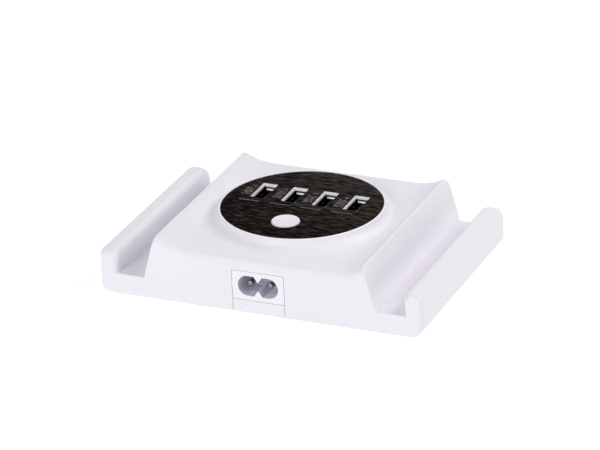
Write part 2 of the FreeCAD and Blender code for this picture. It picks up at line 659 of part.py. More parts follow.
def make_bosses():
    """Bosses for the case screws and posts for the USB board, grown from the roof."""
    bosses = []
    for corner, side_x, side_y in CORNERS:
        x, y = case_boss_place(side_x, side_y)
        bosses.append(upright(f"case_boss_{corner}", "sizes.boss_radius",
                              "places.inner_ridge_z + sizes.weld - places.cup_z", x, y, "places.cup_z"))
        x, y = usb_post_place(side_x, side_y)
        bosses.append(upright(f"usb_post_{corner}", "sizes.post_radius",
                              "places.seat_under_z + sizes.weld - places.usb_board_top_z", x, y,
                              "places.usb_board_top_z"))
    return bosses


def port_x(number):
    return f"({number} - 2.5) * sizes.port_pitch"


def port_windows(prefix, low, height, gap):
    """Four upright blocks, one round each socket."""
    return [box(f"{prefix}_{number}", f"sizes.shell_width + 2 * {gap}", f"sizes.shell_length + 2 * {gap}",
                height, port_x(number), "sizes.port_setback", low) for number in range(1, 5)]


def make_openings():
    """Everything cut through the housing after its bosses are on."""
    depth = "sizes.rim_proud + sizes.disc_thick"
    tools = [upright("disc_recess", "sizes.disc_radius + sizes.fit_gap", f"2 * ({depth})", "0", "0",
                     "places.seat_z")]
    tools += port_windows("window", "places.seat_under_z - sizes.wall", "2 * sizes.wall + sizes.seat_thick",
                          "sizes.port_gap")
    tools.append(upright("button_hole", "sizes.button_radius + sizes.run_gap",
                         "2 * sizes.wall + sizes.seat_thick", "0", "sizes.button_setback",
                         "places.seat_under_z - sizes.wall"))
    tools.append(box("inlet_notch", "2 * (sizes.panel_half + sizes.seam_gap)", "3 * sizes.wall",
                     "places.panel_high_z + sizes.seam_gap", "0", "-places.face_y", "0"))
    for corner, side_x, side_y in CORNERS:
        x, y = case_boss_place(side_x, side_y)
        tools.append(upright(f"case_pilot_{corner}", "sizes.case_screw_radius + sizes.fit_gap / 2",
                             "sizes.case_screw_length + sizes.fit_gap", x, y, "places.case_head_z"))
        x, y = usb_post_place(side_x, side_y)
        tools.append(upright(f"usb_pilot_{corner}", "sizes.board_screw_radius + sizes.fit_gap / 2",
                             "sizes.board_screw_length + sizes.fit_gap", x, y, "places.usb_board_z"))
    return tools


def make_top_housing():
    rails = [make_rail(side, sign) for side, sign in SIDES]
    outer = fuse("housing_outer", [make_block(), make_slab(), make_ring()] + rails)
    shell = cut("housing_shell", outer, make_hollow())
    bossed = fuse("housing_bossed", [shell] + make_bosses())
    keep(cut("top_housing", bossed, make_openings()))


# Bottom cover, feet and case screws

def make_bottom_cover():
    """Plate between the front and back walls, curved along its long edges, with the tab below the inlet,
    cups for the case screws, standoffs for the power board and seats for the feet."""
    plate = new_body("cover_plate")
    corners = [
        ("-under_end_x", "base_z"), ("under_end_x", "base_z"), ("cover_edge_x", "cover_z"),
        ("-cover_edge_x", "cover_z"),
    ]
    rounds = {1: ("under_x", "under_z", True), 3: ("-under_x", "under_z", True)}
    pad(plate, outline(sketch_on(plate, "XZ_Plane"), corners, rounds),
        "2 * (places.inner_y - sizes.fit_gap)")
    tab_depth = "sizes.wall + sizes.fit_gap + sizes.weld"
    adds = [plate, box("cover_tab", "2 * sizes.panel_half", tab_depth, "sizes.panel_low - sizes.seam_gap",
                       "0", f"({tab_depth}) / 2 - places.face_y", "places.base_z")]
    tools = []
    for corner, side_x, side_y in CORNERS:
        x, y = case_boss_place(side_x, side_y)
        adds.append(upright(f"cup_{corner}", "sizes.cup_radius", "sizes.cover_thick + sizes.cup_height",
                            x, y, "places.base_z"))
        tools.append(upright(f"cup_bore_{corner}", "sizes.case_head_radius + sizes.run_gap",
                             "places.case_head_z", x, y, "0"))
        tools.append(upright(f"cup_hole_{corner}", "sizes.case_screw_radius + sizes.run_gap",
                             "places.cup_z", x, y, "places.base_z"))
        x, y = standoff_place(side_x, side_y)
        adds.append(upright(f"standoff_{corner}", "sizes.standoff_radius",
                            "sizes.cover_thick + sizes.standoff", x, y, "places.base_z"))
        tools.append(upright(f"standoff_pilot_{corner}", "sizes.board_screw_radius + sizes.fit_gap / 2",
                             "sizes.board_screw_length + sizes.fit_gap", x, y,
                             "places.power_board_top_z - sizes.board_screw_length - sizes.fit_gap"))
        tools.append(upright(f"foot_recess_{corner}", "sizes.foot_radius + sizes.fit_gap",
                             "places.foot_top_z", f"{side_x} * places.foot_x", f"{side_y} * places.foot_y",
                             "0"))
    keep(cut("bottom_cover", fuse("cover_solid", adds), tools))


def make_feet():
    corners = [
        ("0", "0"), ("foot_low_radius", "0"), ("foot_radius", "base_z"), ("foot_radius", "foot_top_z"),
        ("0", "foot_top_z"),
    ]
    for corner, side_x, side_y in CORNERS:
        keep(turned(f"foot_{corner}", corners, move_x=f"{side_x} * places.foot_x",
                    move_y=f"{side_y} * places.foot_y"))


def screw(label, kind, x, y, seat, upward):
    """Pan-head screw with a cross recess: a head on one side of the seat, a shank on the other."""
    head = f"sizes.{kind}_head_height"
    length = f"sizes.{kind}_screw_length"
    head_z = f"{seat} - {head}" if upward else seat
    shank_z = f"{seat} - sizes.weld" if upward else f"{seat} - {length}"
    pieces = [
        upright(f"{label}_head", f"sizes.{kind}_head_radius", head, x, y, head_z),
        upright(f"{label}_shank", f"sizes.{kind}_screw_radius", f"{length} + sizes.weld", x, y, shank_z),
    ]
    across = f"2 * sizes.recess_share * sizes.{kind}_head_radius"
    face_z = head_z if upward else f"{seat} + {head}"
    low = f"{face_z} - sizes.recess_depth"
    recess = [
        box(f"{label}_recess_x", across, "sizes.recess_width", "2 * sizes.recess_depth", x, y, low),
        box(f"{label}_recess_y", "sizes.recess_width", across, "2 * sizes.recess_depth", x, y, low),
    ]
    return cut(label, fuse(f"{label}_blank", pieces), recess)


def make_screws():
    case_screws = []
    board_screws = []
    for corner, side_x, side_y in CORNERS:
        x, y = case_boss_place(side_x, side_y)
        case_screws.append(screw(f"case_screw_{corner}", "case", x, y, "places.case_head_z", True))
        x, y = usb_post_place(side_x, side_y)
        board_screws.append(screw(f"usb_screw_{corner}", "board", x, y, "places.usb_board_z", True))
        x, y = standoff_place(side_x, side_y)
        board_screws.append(screw(f"power_screw_{corner}", "board", x, y, "places.power_board_top_z",
                                  False))
    keep(group("case_screws", case_screws))
    keep(group("board_screws", board_screws))


# Disc, button and switch

def make_face_disc():
    plate = upright("disc_plate", "sizes.disc_radius", "sizes.disc_thick", "0", "0", "places.seat_z")
    tools = port_windows("disc_window", "places.seat_under_z", "2 * sizes.seat_thick", "sizes.port_gap")
    tools.append(upright("disc_button_hole", "sizes.button_radius + sizes.run_gap", "2 * sizes.seat_thick",
                         "0", "sizes.button_setback", "places.seat_under_z"))
    keep(cut("face_disc", plate, tools))


def make_button():
    """Dished cap, a flange that keeps it under the disc's seat, and a stem down to the switch."""
    corners = [
        ("0", "plunger_top_z"), ("stem_radius", "plunger_top_z"), ("stem_radius", "flange_low_z"),
        ("flange_radius", "flange_low_z"), ("flange_radius", "flange_top_z"),
        ("button_radius", "flange_top_z"), ("button_radius", "cap_side_z"),
        ("cap_rim_radius", "cap_rim_z"), ("0", "dish_z"),
    ]
    rounds = {6: ("cap_rim_radius", "cap_side_z", True), 7: ("0", "dish_centre_z", False)}
    keep(turned("power_button", corners, rounds, move_y="sizes.button_setback"))


def make_switch():
    """Switch body on the USB board, with a plunger that slides in it."""
    shell = box("switch_block", "sizes.switch_side", "sizes.switch_side", "sizes.switch_height", "0",
                "sizes.button_setback", "places.usb_board_top_z")
    bore = upright("switch_bore", "sizes.plunger_radius + sizes.run_gap",
                   "sizes.plunger_seat + sizes.button_travel + sizes.run_gap + sizes.weld", "0",
                   "sizes.button_setback",
                   "places.plunger_low_z - sizes.button_travel - sizes.run_gap")
    keep(cut("switch_body", shell, [bore]))
    keep(upright("switch_plunger", "sizes.plunger_radius", "sizes.plunger_height + sizes.plunger_seat", "0",
                 "sizes.button_setback", "places.plunger_low_z"))


# USB sockets

def make_socket(number):
    """Folded metal shell, a black tongue on its base block and four contact blades."""
    x = port_x(number)
    y = "sizes.port_setback"
    low = "places.usb_board_top_z"
    outside = box(f"shell_outside_{number}", "sizes.shell_width", "sizes.shell_length",
                  "sizes.shell_height", x, y, low)
    outside = soften(f"shell_rounded_{number}", outside, "shell_round", is_upright)
    inside = box(f"shell_inside_{number}", "places.shell_inner_width", "places.shell_inner_length",
                 "2 * sizes.shell_height", x, y, f"{low} - sizes.shell_height / 2")
    keep(cut(f"usb_shell_{number}", outside, [inside]))

    base = box(f"tongue_base_{number}", "places.shell_inner_width - 2 * sizes.fit_gap",
               "places.shell_inner_length - 2 * sizes.fit_gap", "sizes.tongue_base", x, y, low)
    blade_x = f"{x} + places.tongue_x + sizes.tongue_thick / 2"
    blade = box(f"tongue_blade_{number}", "sizes.tongue_thick", "sizes.tongue_length",
                f"places.tongue_z - {low}", blade_x, y, low)
    keep(fuse(f"usb_tongue_{number}", [base, blade]))

    foot = f"{low} + sizes.tongue_base"
    contact_x = f"{x} + places.tongue_x - sizes.contact_thick / 2"
    contacts = []
    for row in ("outer", "inner"):
        for end, sign in (("front", "-"), ("back", "")):
            contacts.append(box(f"contact_{row}_{end}_{number}", "sizes.contact_thick",
                                "sizes.contact_width",
                                f"places.tongue_z - sizes.contact_recess - ({foot})", contact_x,
                                f"{y} {sign or '+'} sizes.contact_{row}_pitch / 2", foot))
    keep(group(f"usb_contacts_{number}", contacts))


# Mains inlet

def make_tooth(row, root_z, tip_z, order):
    """Wedge with a round tip, which narrows the inlet's opening between its two pins."""
    body = new_body(f"tooth_{row}", move_y="-places.face_y")
    corners = [("-tooth_root", root_z), ("tooth_root", root_z), ("tooth_tip", tip_z), ("-tooth_tip", tip_z)]
    rounds = {order: ("0", tip_z, True)}
    if row == "high":
        corners.reverse()
    pad(body, outline(sketch_on(body, "XZ_Plane"), corners, rounds),
        "2 * (sizes.socket_depth + sizes.weld)")
    return body


def make_figure_eight():
    """Space that takes the mains lead's connector: a slot with round ends, less a tooth above and below."""
    long = "2 * sizes.socket_depth"
    pieces = [box("socket_slot", "sizes.pin_pitch", long, "2 * sizes.lobe_radius", "0", "-places.face_y",
                  "places.socket_low_z")]
    for side, sign in SIDES:
        pieces.append(rod_along_y(f"lobe_{side}", "sizes.lobe_radius", long, f"{sign}places.pin_x",
                                  "-places.face_y - sizes.socket_depth", "places.socket_z"))
    teeth = [make_tooth("high", "socket_high_z", "tooth_high_z", 0),
             make_tooth("low", "socket_low_z", "tooth_low_z", 2)]
    return cut("figure_eight", fuse("socket_space", pieces), teeth)


def make_inlet():
    """Moulded inlet: a face flush in the front wall, a flange behind it and a box round the figure-8."""
    face = box("inlet_face", "2 * sizes.panel_half", "sizes.wall + sizes.inlet_flange",
               "sizes.panel_high - sizes.panel_low", "0",
               "(sizes.wall + sizes.inlet_flange) / 2 - places.face_y", "places.panel_low_z")
    flange = box("inlet_flange_plate", "2 * (sizes.panel_half + sizes.inlet_flange)", "sizes.inlet_flange",
                 "sizes.panel_high - sizes.panel_low + sizes.inlet_flange", "0",
                 "sizes.wall + sizes.fit_gap + sizes.inlet_flange / 2 - places.face_y",
                 "places.panel_low_z")
    width = "sizes.pin_pitch + 2 * (sizes.lobe_radius + sizes.inlet_wall)"
    height = "2 * (sizes.lobe_radius + sizes.inlet_wall)"
    rear = box("inlet_box", width, "sizes.inlet_depth - sizes.wall", height, "0",
               "(sizes.inlet_depth + sizes.wall) / 2 - places.face_y",
               f"places.socket_z - ({height}) / 2")
    rear = soften("inlet_rear", rear, "lobe_radius",
                  lambda edge: edge.BoundBox.YLength > value("lobe_radius"))
    tools = [make_figure_eight()]
    for side, sign in SIDES:
        tools.append(rod_along_y(f"pin_bore_{side}", "sizes.pin_radius + sizes.fit_gap / 2",
                                 "2 * sizes.inlet_depth", f"{sign}places.pin_x", "-places.face_y",
                                 "places.socket_z"))
    keep(cut("inlet_housing", fuse("inlet_solid", [face, flange, rear]), tools))


def make_inlet_pin(side, sign):
    """Round pin through the back of the inlet, with a tail turned down into the power board."""
    x = f"{sign}places.pin_x"
    tip_y = "sizes.pin_recess - places.face_y"
    rod = rod_along_y(f"pin_rod_{side}", "sizes.pin_radius",
                      f"places.tail_y + sizes.tail_thick - ({tip_y})", x, tip_y, "places.socket_z")

    def tip(edge):
        return edge.BoundBox.YMax < value("pin_recess") - value("face_y") + 1e-4

    rod = soften(f"pin_round_{side}", rod, "pin_tip_round", tip)
    tail_low = "places.power_board_z - sizes.tail_proud"
    tail = box(f"pin_tail_{side}", "sizes.tail_width", "sizes.tail_thick",
               f"places.socket_z - ({tail_low})", x, "places.tail_y + sizes.tail_thick / 2", tail_low)
    keep(fuse(f"inlet_pin_{side}", [rod, tail]))


# Circuit boards

def make_boards():
    plate = box("usb_board_plate", "2 * places.usb_board_half",
                "places.usb_board_back - places.usb_board_front", "sizes.board_thick", "0",
                "(places.usb_board_back + places.usb_board_front) / 2", "places.usb_board_z")
    holes = []
    for corner, side_x, side_y in CORNERS:
        x, y = usb_post_place(side_x, side_y)
        holes.append(upright(f"usb_board_hole_{corner}", "sizes.board_screw_radius + sizes.run_gap",
                             "2 * sizes.board_thick", x, y, "places.usb_board_z - sizes.board_thick / 2"))
    keep(cut("usb_board", plate, holes))

    plate = new_body("power_board_plate", move_z="places.power_board_z")
    corners = [
        ("-power_board_half", "power_board_front"), ("power_board_half", "power_board_front"),
        ("power_board_half", "notch_y"), ("notch_x", "notch_y"), ("notch_x", "power_board_back"),
        ("-notch_x", "power_board_back"), ("-notch_x", "notch_y"), ("-power_board_half", "notch_y"),
    ]
    pad(plate, outline(sketch_on(plate, "XY_Plane"), corners), "sizes.board_thick", "One side")
    holes = []
    for corner, side_x, side_y in CORNERS:
        x, y = standoff_place(side_x, side_y)
        holes.append(upright(f"power_board_hole_{corner}", "sizes.board_screw_radius + sizes.run_gap",
                             "2 * sizes.board_thick", x, y, "places.power_board_z - sizes.board_thick / 2"))
    for side, sign in SIDES:
        holes.append(box(f"tail_hole_{side}", "sizes.tail_width + 2 * sizes.fit_gap",
                         "sizes.tail_thick + 2 * sizes.fit_gap", "2 * sizes.board_thick",
                         f"{sign}places.pin_x", "places.tail_y + sizes.tail_thick / 2",
                         "places.power_board_z - sizes.board_thick / 2"))
    keep(cut("power_board", plate, holes))
    keep(box("board_link", "sizes.link_width", "sizes.link_depth",
             "places.usb_board_z - places.power_board_top_z", "0", "places.link_y",
             "places.power_board_top_z"))


# Power parts on the lower board

def make_transformer():
    """Ferrite core with two windows, a bobbin on its middle leg and the winding on the bobbin."""
    y = "places.core_y"
    low = "places.power_board_top_z"
    block = box("core_block", "sizes.core_width", "places.core_thick", "places.part_height", "0", y, low)
    windows = [box(f"core_window_{side}", "places.window_width", "2 * places.core_thick",
                   "places.window_height", f"{sign}(places.core_leg_half + places.window_width / 2)", y,
                   f"{low} + sizes.core_yoke")
               for side, sign in SIDES]
    keep(cut("transformer_core", block, windows))

    bore_x = "2 * (places.core_leg_half + sizes.fit_gap)"
    bore_y = "places.core_thick + 2 * sizes.fit_gap"
    wide_x = "2 * (places.tube_half_x + sizes.winding_build)"
    wide_y = "places.coil_depth"
    tube = box("bobbin_tube", "2 * places.tube_half_x", "2 * places.tube_half_y", "places.bobbin_height",
               "0", y, "places.bobbin_z")
    flanges = [box("bobbin_low", wide_x, wide_y, "sizes.bobbin_flange", "0", y, "places.bobbin_z"),
               box("bobbin_high", wide_x, wide_y, "sizes.bobbin_flange", "0", y,
                   "places.bobbin_z + places.bobbin_height - sizes.bobbin_flange")]
    bore = box("bobbin_bore", bore_x, bore_y, "2 * places.part_height", "0", y, low)
    keep(cut("transformer_bobbin", fuse("bobbin_solid", [tube] + flanges), [bore]))

    coil_height = "places.bobbin_height - 2 * (sizes.bobbin_flange + sizes.fit_gap)"
    coil = box("coil_block", f"{wide_x} - 2 * sizes.run_gap", f"{wide_y} - 2 * sizes.run_gap", coil_height,
               "0", y, "places.bobbin_z + sizes.bobbin_flange + sizes.fit_gap")
    coil = soften("coil_rounded", coil, "bobbin_flange", is_upright)
    hole = box("coil_hole", "2 * (places.tube_half_x + sizes.fit_gap)",
               "2 * (places.tube_half_y + sizes.fit_gap)", "2 * places.part_height", "0", y, low)
    keep(cut("transformer_winding", coil, [hole]))


def make_can(label, radius, height, x, y):
    """Capacitor can standing on the board, with the rolled groove near its foot."""
    can = upright(f"{label}_can", radius, height, x, y, "places.power_board_top_z")
    roll = doc.addObject("Part::Torus", f"{label}_roll")
    bind(roll, Radius1=radius, Radius2="sizes.can_groove", move_x=x, move_y=y,
         move_z="places.power_board_top_z + 4 * sizes.can_groove")
    keep(cut(label, can, [roll]))


def make_capacitors():
    """Mains capacitors behind and beside the USB board, output capacitors on the other side."""
    tall = "places.part_height"
    short = "places.part_height - sizes.output_drop"
    make_can("bulk_capacitor_1", "places.bulk_radius", tall, "-places.bulk_x", "places.core_y")
    make_can("bulk_capacitor_2", "places.bulk_radius", tall, "-places.strip_x", "places.bulk_y")
    make_can("output_capacitor_1", "sizes.output_radius", short, "places.output_x", "places.core_y")
    make_can("output_capacitor_2", "sizes.output_radius", short,
             "places.output_x + 2 * sizes.output_radius + sizes.part_gap", "places.core_y")


def strip_part(label, kind, width, x, y):
    """Block standing in one of the strips beside the USB board."""
    keep(box(label, width, f"sizes.{kind}_depth", f"places.part_height - sizes.{kind}_drop", x, y,
             "places.power_board_top_z"))


def make_strips():
    """Mains side on the left, switching and output side on the right."""
    wide = "places.strip_width"
    left = "-places.strip_x"
    strip_part("fuse_link", "fuse", wide, left, "places.fuse_y")
    strip_part("line_capacitor", "line_capacitor", wide, left, "places.line_capacitor_y")
    strip_part("line_choke", "choke", wide, left, "places.choke_y")
    strip_part("bridge_rectifier", "bridge", wide, left, "places.bridge_y")
    strip_part("optocoupler", "optocoupler", "places.strip_width / 2", "places.strip_x",
               "places.optocoupler_y")
    for sink, device, y in (
        ("primary_heat_sink", "switching_transistor", "places.switching_y"),
        ("output_heat_sink", "output_rectifier", "places.output_y"),
    ):
        strip_part(sink, "sink", "places.sink_thick", "places.sink_x", y)
        strip_part(device, "device", "places.device_thick", "places.device_x", y)


make_top_housing()
make_bottom_cover()
make_feet()
make_screws()
make_face_disc()
make_button()
make_switch()
for socket_number in range(1, 5):
    make_socket(socket_number)
make_inlet()
for pin_side, pin_sign in SIDES:
    make_inlet_pin(pin_side, pin_sign)
make_boards()
make_transformer()
make_capacitors()
make_strips()
doc.recompute()

failed = [item.Label for item in doc.Objects if {"Invalid", "Error"} & set(item.State)]
if failed:
    raise RuntimeError("features that failed: " + ", ".join(failed))
for item in sub_parts:
    if item.Shape.isNull() or not item.Shape.isValid():
        raise RuntimeError("bad shape: " + item.Label)

os.makedirs("parts", exist_ok=True)
for item in sub_parts:
    item.Shape.exportStep(f"parts/{item.Label}.step")
    print(f"{item.Label:24s} solids {len(item.Shape.Solids)}  volume {item.Shape.Volume:9.1f} mm3")
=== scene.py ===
# %% [markdown]
# # A desk charger with phone grooves
# The charger is a white moulded case with a groove and a rail at each side, in which phones stand
# while they charge. A dark disc on top holds four USB sockets and a push button, and the mains lead
# goes into the front. All the solids come from the CAD model, in metres and in their right places.
# This lesson sets up the camera and the studio, gives every solid its finish, and adds the small
# pieces that the solids leave out.

# %% Load the solids
import json

import bmesh
import bpy
import numpy as np
from mathutils import Matrix, Vector


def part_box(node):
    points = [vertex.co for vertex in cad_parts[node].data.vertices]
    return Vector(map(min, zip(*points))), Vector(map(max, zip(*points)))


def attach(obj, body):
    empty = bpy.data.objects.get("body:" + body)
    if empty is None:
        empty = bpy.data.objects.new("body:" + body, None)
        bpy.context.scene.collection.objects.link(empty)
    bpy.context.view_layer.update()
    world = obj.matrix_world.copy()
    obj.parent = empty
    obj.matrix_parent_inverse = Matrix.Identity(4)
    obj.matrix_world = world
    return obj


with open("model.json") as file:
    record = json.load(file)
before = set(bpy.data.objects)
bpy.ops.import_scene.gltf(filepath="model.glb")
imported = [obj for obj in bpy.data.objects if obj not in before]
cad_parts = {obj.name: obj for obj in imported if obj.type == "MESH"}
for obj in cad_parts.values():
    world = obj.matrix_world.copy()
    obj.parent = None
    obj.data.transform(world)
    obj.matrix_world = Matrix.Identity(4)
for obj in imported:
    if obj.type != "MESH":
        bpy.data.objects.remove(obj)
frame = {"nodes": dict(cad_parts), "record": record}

scene = bpy.context.scene
nodes = frame["nodes"]
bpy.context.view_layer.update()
MM = 0.001

# %% [markdown]
# ## Camera
# The photograph was taken from the front right and a little above, with a long lens, so lines that
# run into the depth hardly draw together. The case's straight edges and its round disc were measured
# in the picture, and the view below is the one that puts the solids on those edges. Two angles and a
# small roll turn the camera. A shift of the sensor then moves the picture without changing the view,
# which a turn of the camera would do. How much parallel edges draw together fixes the distance, and
# the size of the object in the picture then fixes the lens.

# %% Camera at the photograph's angle
VIEW_AZIMUTH = np.radians(24.108)
VIEW_ELEVATION = np.radians(24.757)
VIEW_ROLL = np.radians(2.507)
VIEW_DISTANCE = 1.4914
VIEW_TARGET = np.array([0.0, 0.0006, 0.0160])
PICTURE_PIXELS = np.array([600.0, 450.0])
TARGET_PIXEL = np.array([303.9, 231.6])
PIXELS_PER_METRE = 2509.0
SENSOR_MM = 36.0
CLIP_START = 0.05
CLIP_END = 50.0


def view_axes(azimuth, elevation, roll):
    """Right, up and back directions of a camera: back comes from the two angles, right lies level, up
    is square to both, and the roll turns right and up about back."""
    flat = np.cos(elevation)
    back = np.array([np.sin(azimuth) * flat, -np.cos(azimuth) * flat, np.sin(elevation)])
    level = np.array([np.cos(azimuth), np.sin(azimuth), 0.0])
    upright = np.cross(back, level)
    right = level * np.cos(roll) - upright * np.sin(roll)
    up = level * np.sin(roll) + upright * np.cos(roll)
    return right, up, back


right, up, back = view_axes(VIEW_AZIMUTH, VIEW_ELEVATION, VIEW_ROLL)
camera_data = bpy.data.cameras.new("studio_camera")
camera_data.lens = PIXELS_PER_METRE * VIEW_DISTANCE * SENSOR_MM / PICTURE_PIXELS[0]
camera_data.sensor_width = SENSOR_MM
camera_data.sensor_fit = "HORIZONTAL"
pixel_shift = (TARGET_PIXEL - PICTURE_PIXELS / 2) / PICTURE_PIXELS[0]
camera_data.shift_x = -pixel_shift[0]
camera_data.shift_y = pixel_shift[1]
camera_data.clip_start = CLIP_START
camera_data.clip_end = CLIP_END
camera = bpy.data.objects.new("studio_camera", camera_data)
scene.collection.objects.link(camera)
turn = Matrix(np.column_stack([right, up, back]).tolist()).to_4x4()
camera.matrix_world = Matrix.Translation(VIEW_TARGET + back * VIEW_DISTANCE) @ turn
scene.camera = camera
print("camera at", [round(value, 3) for value in camera.location])
print("lens", round(camera_data.lens, 1), "mm")

# %% [markdown]
# ## Studio
# The picture shows the charger on pure white, with hardly a shadow: a light table, with big soft
# lamps round it. The floor glows, so that it lights the front and the undercut edges from below.
# Camera and mirror rays see the floor and the world as white, so the background is white however much
# light falls on the object. The first strengths came from a sum: light adds up, so the scene was
# rendered with each lamp alone, and the mix was solved for that comes nearest to the tones of the
# picture. The place of the right lamp and the final strengths were then set by trial. That lamp stands
# near, so that its light falls off towards the left end of the case and leaves the left groove darker.
# The floor and the sky are so wide that rays that leave a surface at random find them well, so they
# are left out of the list of lamps that each ray is aimed at, which leaves more rays for the lamps and
# less grain in the picture.

# %% World light
WORLD_LIGHT = 0.03
WORLD_TINT = (0.985, 0.950, 1.0, 1.0)
WHITE = (1.0, 1.0, 1.0, 1.0)
BACKDROP_STRENGTH = 1.0


def seen_directly(tree):
    """Factor that is 1 for camera, mirror and glass rays and 0 for the rays that light a surface."""
    path = tree.nodes.new("ShaderNodeLightPath")
    either = tree.nodes.new("ShaderNodeMath")
    either.operation = "MAXIMUM"
    tree.links.new(path.outputs["Is Camera Ray"], either.inputs[0])
    tree.links.new(path.outputs["Is Glossy Ray"], either.inputs[1])
    any_of_three = tree.nodes.new("ShaderNodeMath")
    any_of_three.operation = "MAXIMUM"
    tree.links.new(either.outputs[0], any_of_three.inputs[0])
    tree.links.new(path.outputs["Is Transmission Ray"], any_of_three.inputs[1])
    return any_of_three.outputs[0]


world = bpy.data.worlds.new("light_tent")
scene.world = world
world.use_nodes = True
world_tree = world.node_tree
world_tree.nodes.clear()
lighting = world_tree.nodes.new("ShaderNodeBackground")
lighting.inputs["Color"].default_value = WORLD_TINT
lighting.inputs["Strength"].default_value = WORLD_LIGHT
backdrop = world_tree.nodes.new("ShaderNodeBackground")
backdrop.inputs["Color"].default_value = WHITE
backdrop.inputs["Strength"].default_value = BACKDROP_STRENGTH
world_mix = world_tree.nodes.new("ShaderNodeMixShader")
world_out = world_tree.nodes.new("ShaderNodeOutputWorld")
world_tree.links.new(seen_directly(world_tree), world_mix.inputs["Fac"])
world_tree.links.new(lighting.outputs[0], world_mix.inputs[1])
world_tree.links.new(backdrop.outputs[0], world_mix.inputs[2])
world_tree.links.new(world_mix.outputs[0], world_out.inputs["Surface"])
world.cycles.sampling_method = "NONE"
scene.view_settings.view_transform = "Standard"
print("world light", WORLD_LIGHT)

# %% Floor that stays white but keeps the shadow
# The floor mixes a matt paint, which takes the shadow, with a glow. The share of the glow is larger for
# the rays that see the floor directly than for the rays that it lights the object with.
FLOOR_HALF = 3.0
FLOOR_COLOUR = (0.92, 0.92, 0.92, 1.0)
GLOW_STRENGTH = 1.10
GLOW_SHARE_SEEN = 0.82
GLOW_SHARE_LIGHTING = 0.63
floor_corners = np.array([[-1, -1, 0], [1, -1, 0], [1, 1, 0], [-1, 1, 0]]) * FLOOR_HALF
floor_mesh = bpy.data.meshes.new("floor")
floor_mesh.from_pydata(floor_corners.tolist(), [], [[0, 1, 2, 3]])
floor = bpy.data.objects.new("floor", floor_mesh)
scene.collection.objects.link(floor)
floor_paint = bpy.data.materials.new("floor_white")
floor_paint.use_nodes = True
floor_tree = floor_paint.node_tree
floor_tree.nodes.clear()
floor_matt = floor_tree.nodes.new("ShaderNodeBsdfDiffuse")
floor_matt.inputs["Color"].default_value = FLOOR_COLOUR
floor_glow = floor_tree.nodes.new("ShaderNodeEmission")
floor_glow.inputs["Strength"].default_value = GLOW_STRENGTH
floor_share = floor_tree.nodes.new("ShaderNodeMapRange")
floor_share.inputs["To Min"].default_value = GLOW_SHARE_LIGHTING
floor_share.inputs["To Max"].default_value = GLOW_SHARE_SEEN
floor_mix = floor_tree.nodes.new("ShaderNodeMixShader")
floor_out = floor_tree.nodes.new("ShaderNodeOutputMaterial")
floor_tree.links.new(seen_directly(floor_tree), floor_share.inputs["Value"])
floor_tree.links.new(floor_share.outputs[0], floor_mix.inputs["Fac"])
floor_tree.links.new(floor_matt.outputs[0], floor_mix.inputs[1])
floor_tree.links.new(floor_glow.outputs[0], floor_mix.inputs[2])
floor_tree.links.new(floor_mix.outputs[0], floor_out.inputs["Surface"])
floor_paint.cycles.emission_sampling = "NONE"
floor_mesh.materials.append(floor_paint)
print("floor", 2 * FLOOR_HALF, "m square")

# %% Soft lamps
# Name, place, width and height of the lamp in metres, power in watts, and tint.
LAMPS = [
    ("right_softbox", (0.56, 0.19, 0.58), (0.75, 0.45), 4.65, (1.0, 0.985, 0.995)),
    ("front_left_softbox", (-0.50, -1.30, 0.80), (0.9, 0.9), 12.8, (0.970, 0.965, 1.0)),
    ("front_low_softbox", (0.10, -1.65, 0.30), (0.9, 0.9), 4.8, (1.0, 1.0, 1.0)),
    ("back_softbox", (-0.48, 0.94, 1.18), (1.5, 0.9), 6.1, (1.0, 0.94, 1.0)),
]
for lamp_name, lamp_place, (lamp_width, lamp_height), lamp_power, lamp_tint in LAMPS:
    lamp_data = bpy.data.lights.new(lamp_name, "AREA")
    lamp_data.shape = "RECTANGLE"
    lamp_data.size = lamp_width
    lamp_data.size_y = lamp_height
    lamp_data.energy = lamp_power
    lamp_data.color = lamp_tint
    lamp = bpy.data.objects.new(lamp_name, lamp_data)
    scene.collection.objects.link(lamp)
    lamp.location = lamp_place
    aim = Vector(VIEW_TARGET) - lamp.location
    lamp.rotation_mode = "QUATERNION"
    lamp.rotation_quaternion = aim.to_track_quat("-Z", "Y")
    print(lamp_name, lamp_power, "W")

# %% [markdown]
# ## How a finish is made
# A real surface is never one flat colour: a moulding has a faint ripple and a gloss that varies, sheet
# metal has rolling marks, and a printed film has grain. Each finish below starts from one shader with
# its plain numbers set on it, and then gets patterns for colour, gloss and relief. The patterns read
# Object coordinates, which are metres on this model, so a scale of 1000 means features about one
# millimetre across.

# %% Finish helpers
# Nearly all of a noise pattern lies between these two values.
NOISE_LOW = 0.3
NOISE_HIGH = 0.7


def new_finish(name, colour, roughness, metallic=0.0, specular=0.5):
    """Material with one shader and its plain numbers."""
    finish = bpy.data.materials.new(name)
    finish.use_nodes = True
    shader = finish.node_tree.nodes["Principled BSDF"]
    shader.inputs["Base Color"].default_value = (*colour, 1.0)
    shader.inputs["Roughness"].default_value = roughness
    shader.inputs["Metallic"].default_value = metallic
    shader.inputs["Specular IOR Level"].default_value = specular
    finish.diffuse_color = (*colour, 1.0)
    return finish


def coordinates(finish, stretch=(1.0, 1.0, 1.0)):
    """Object coordinates, multiplied along each axis."""
    tree = finish.node_tree
    source = tree.nodes.new("ShaderNodeTexCoord")
    mapping = tree.nodes.new("ShaderNodeMapping")
    mapping.inputs["Scale"].default_value = stretch
    tree.links.new(source.outputs["Object"], mapping.inputs["Vector"])
    return mapping.outputs["Vector"]


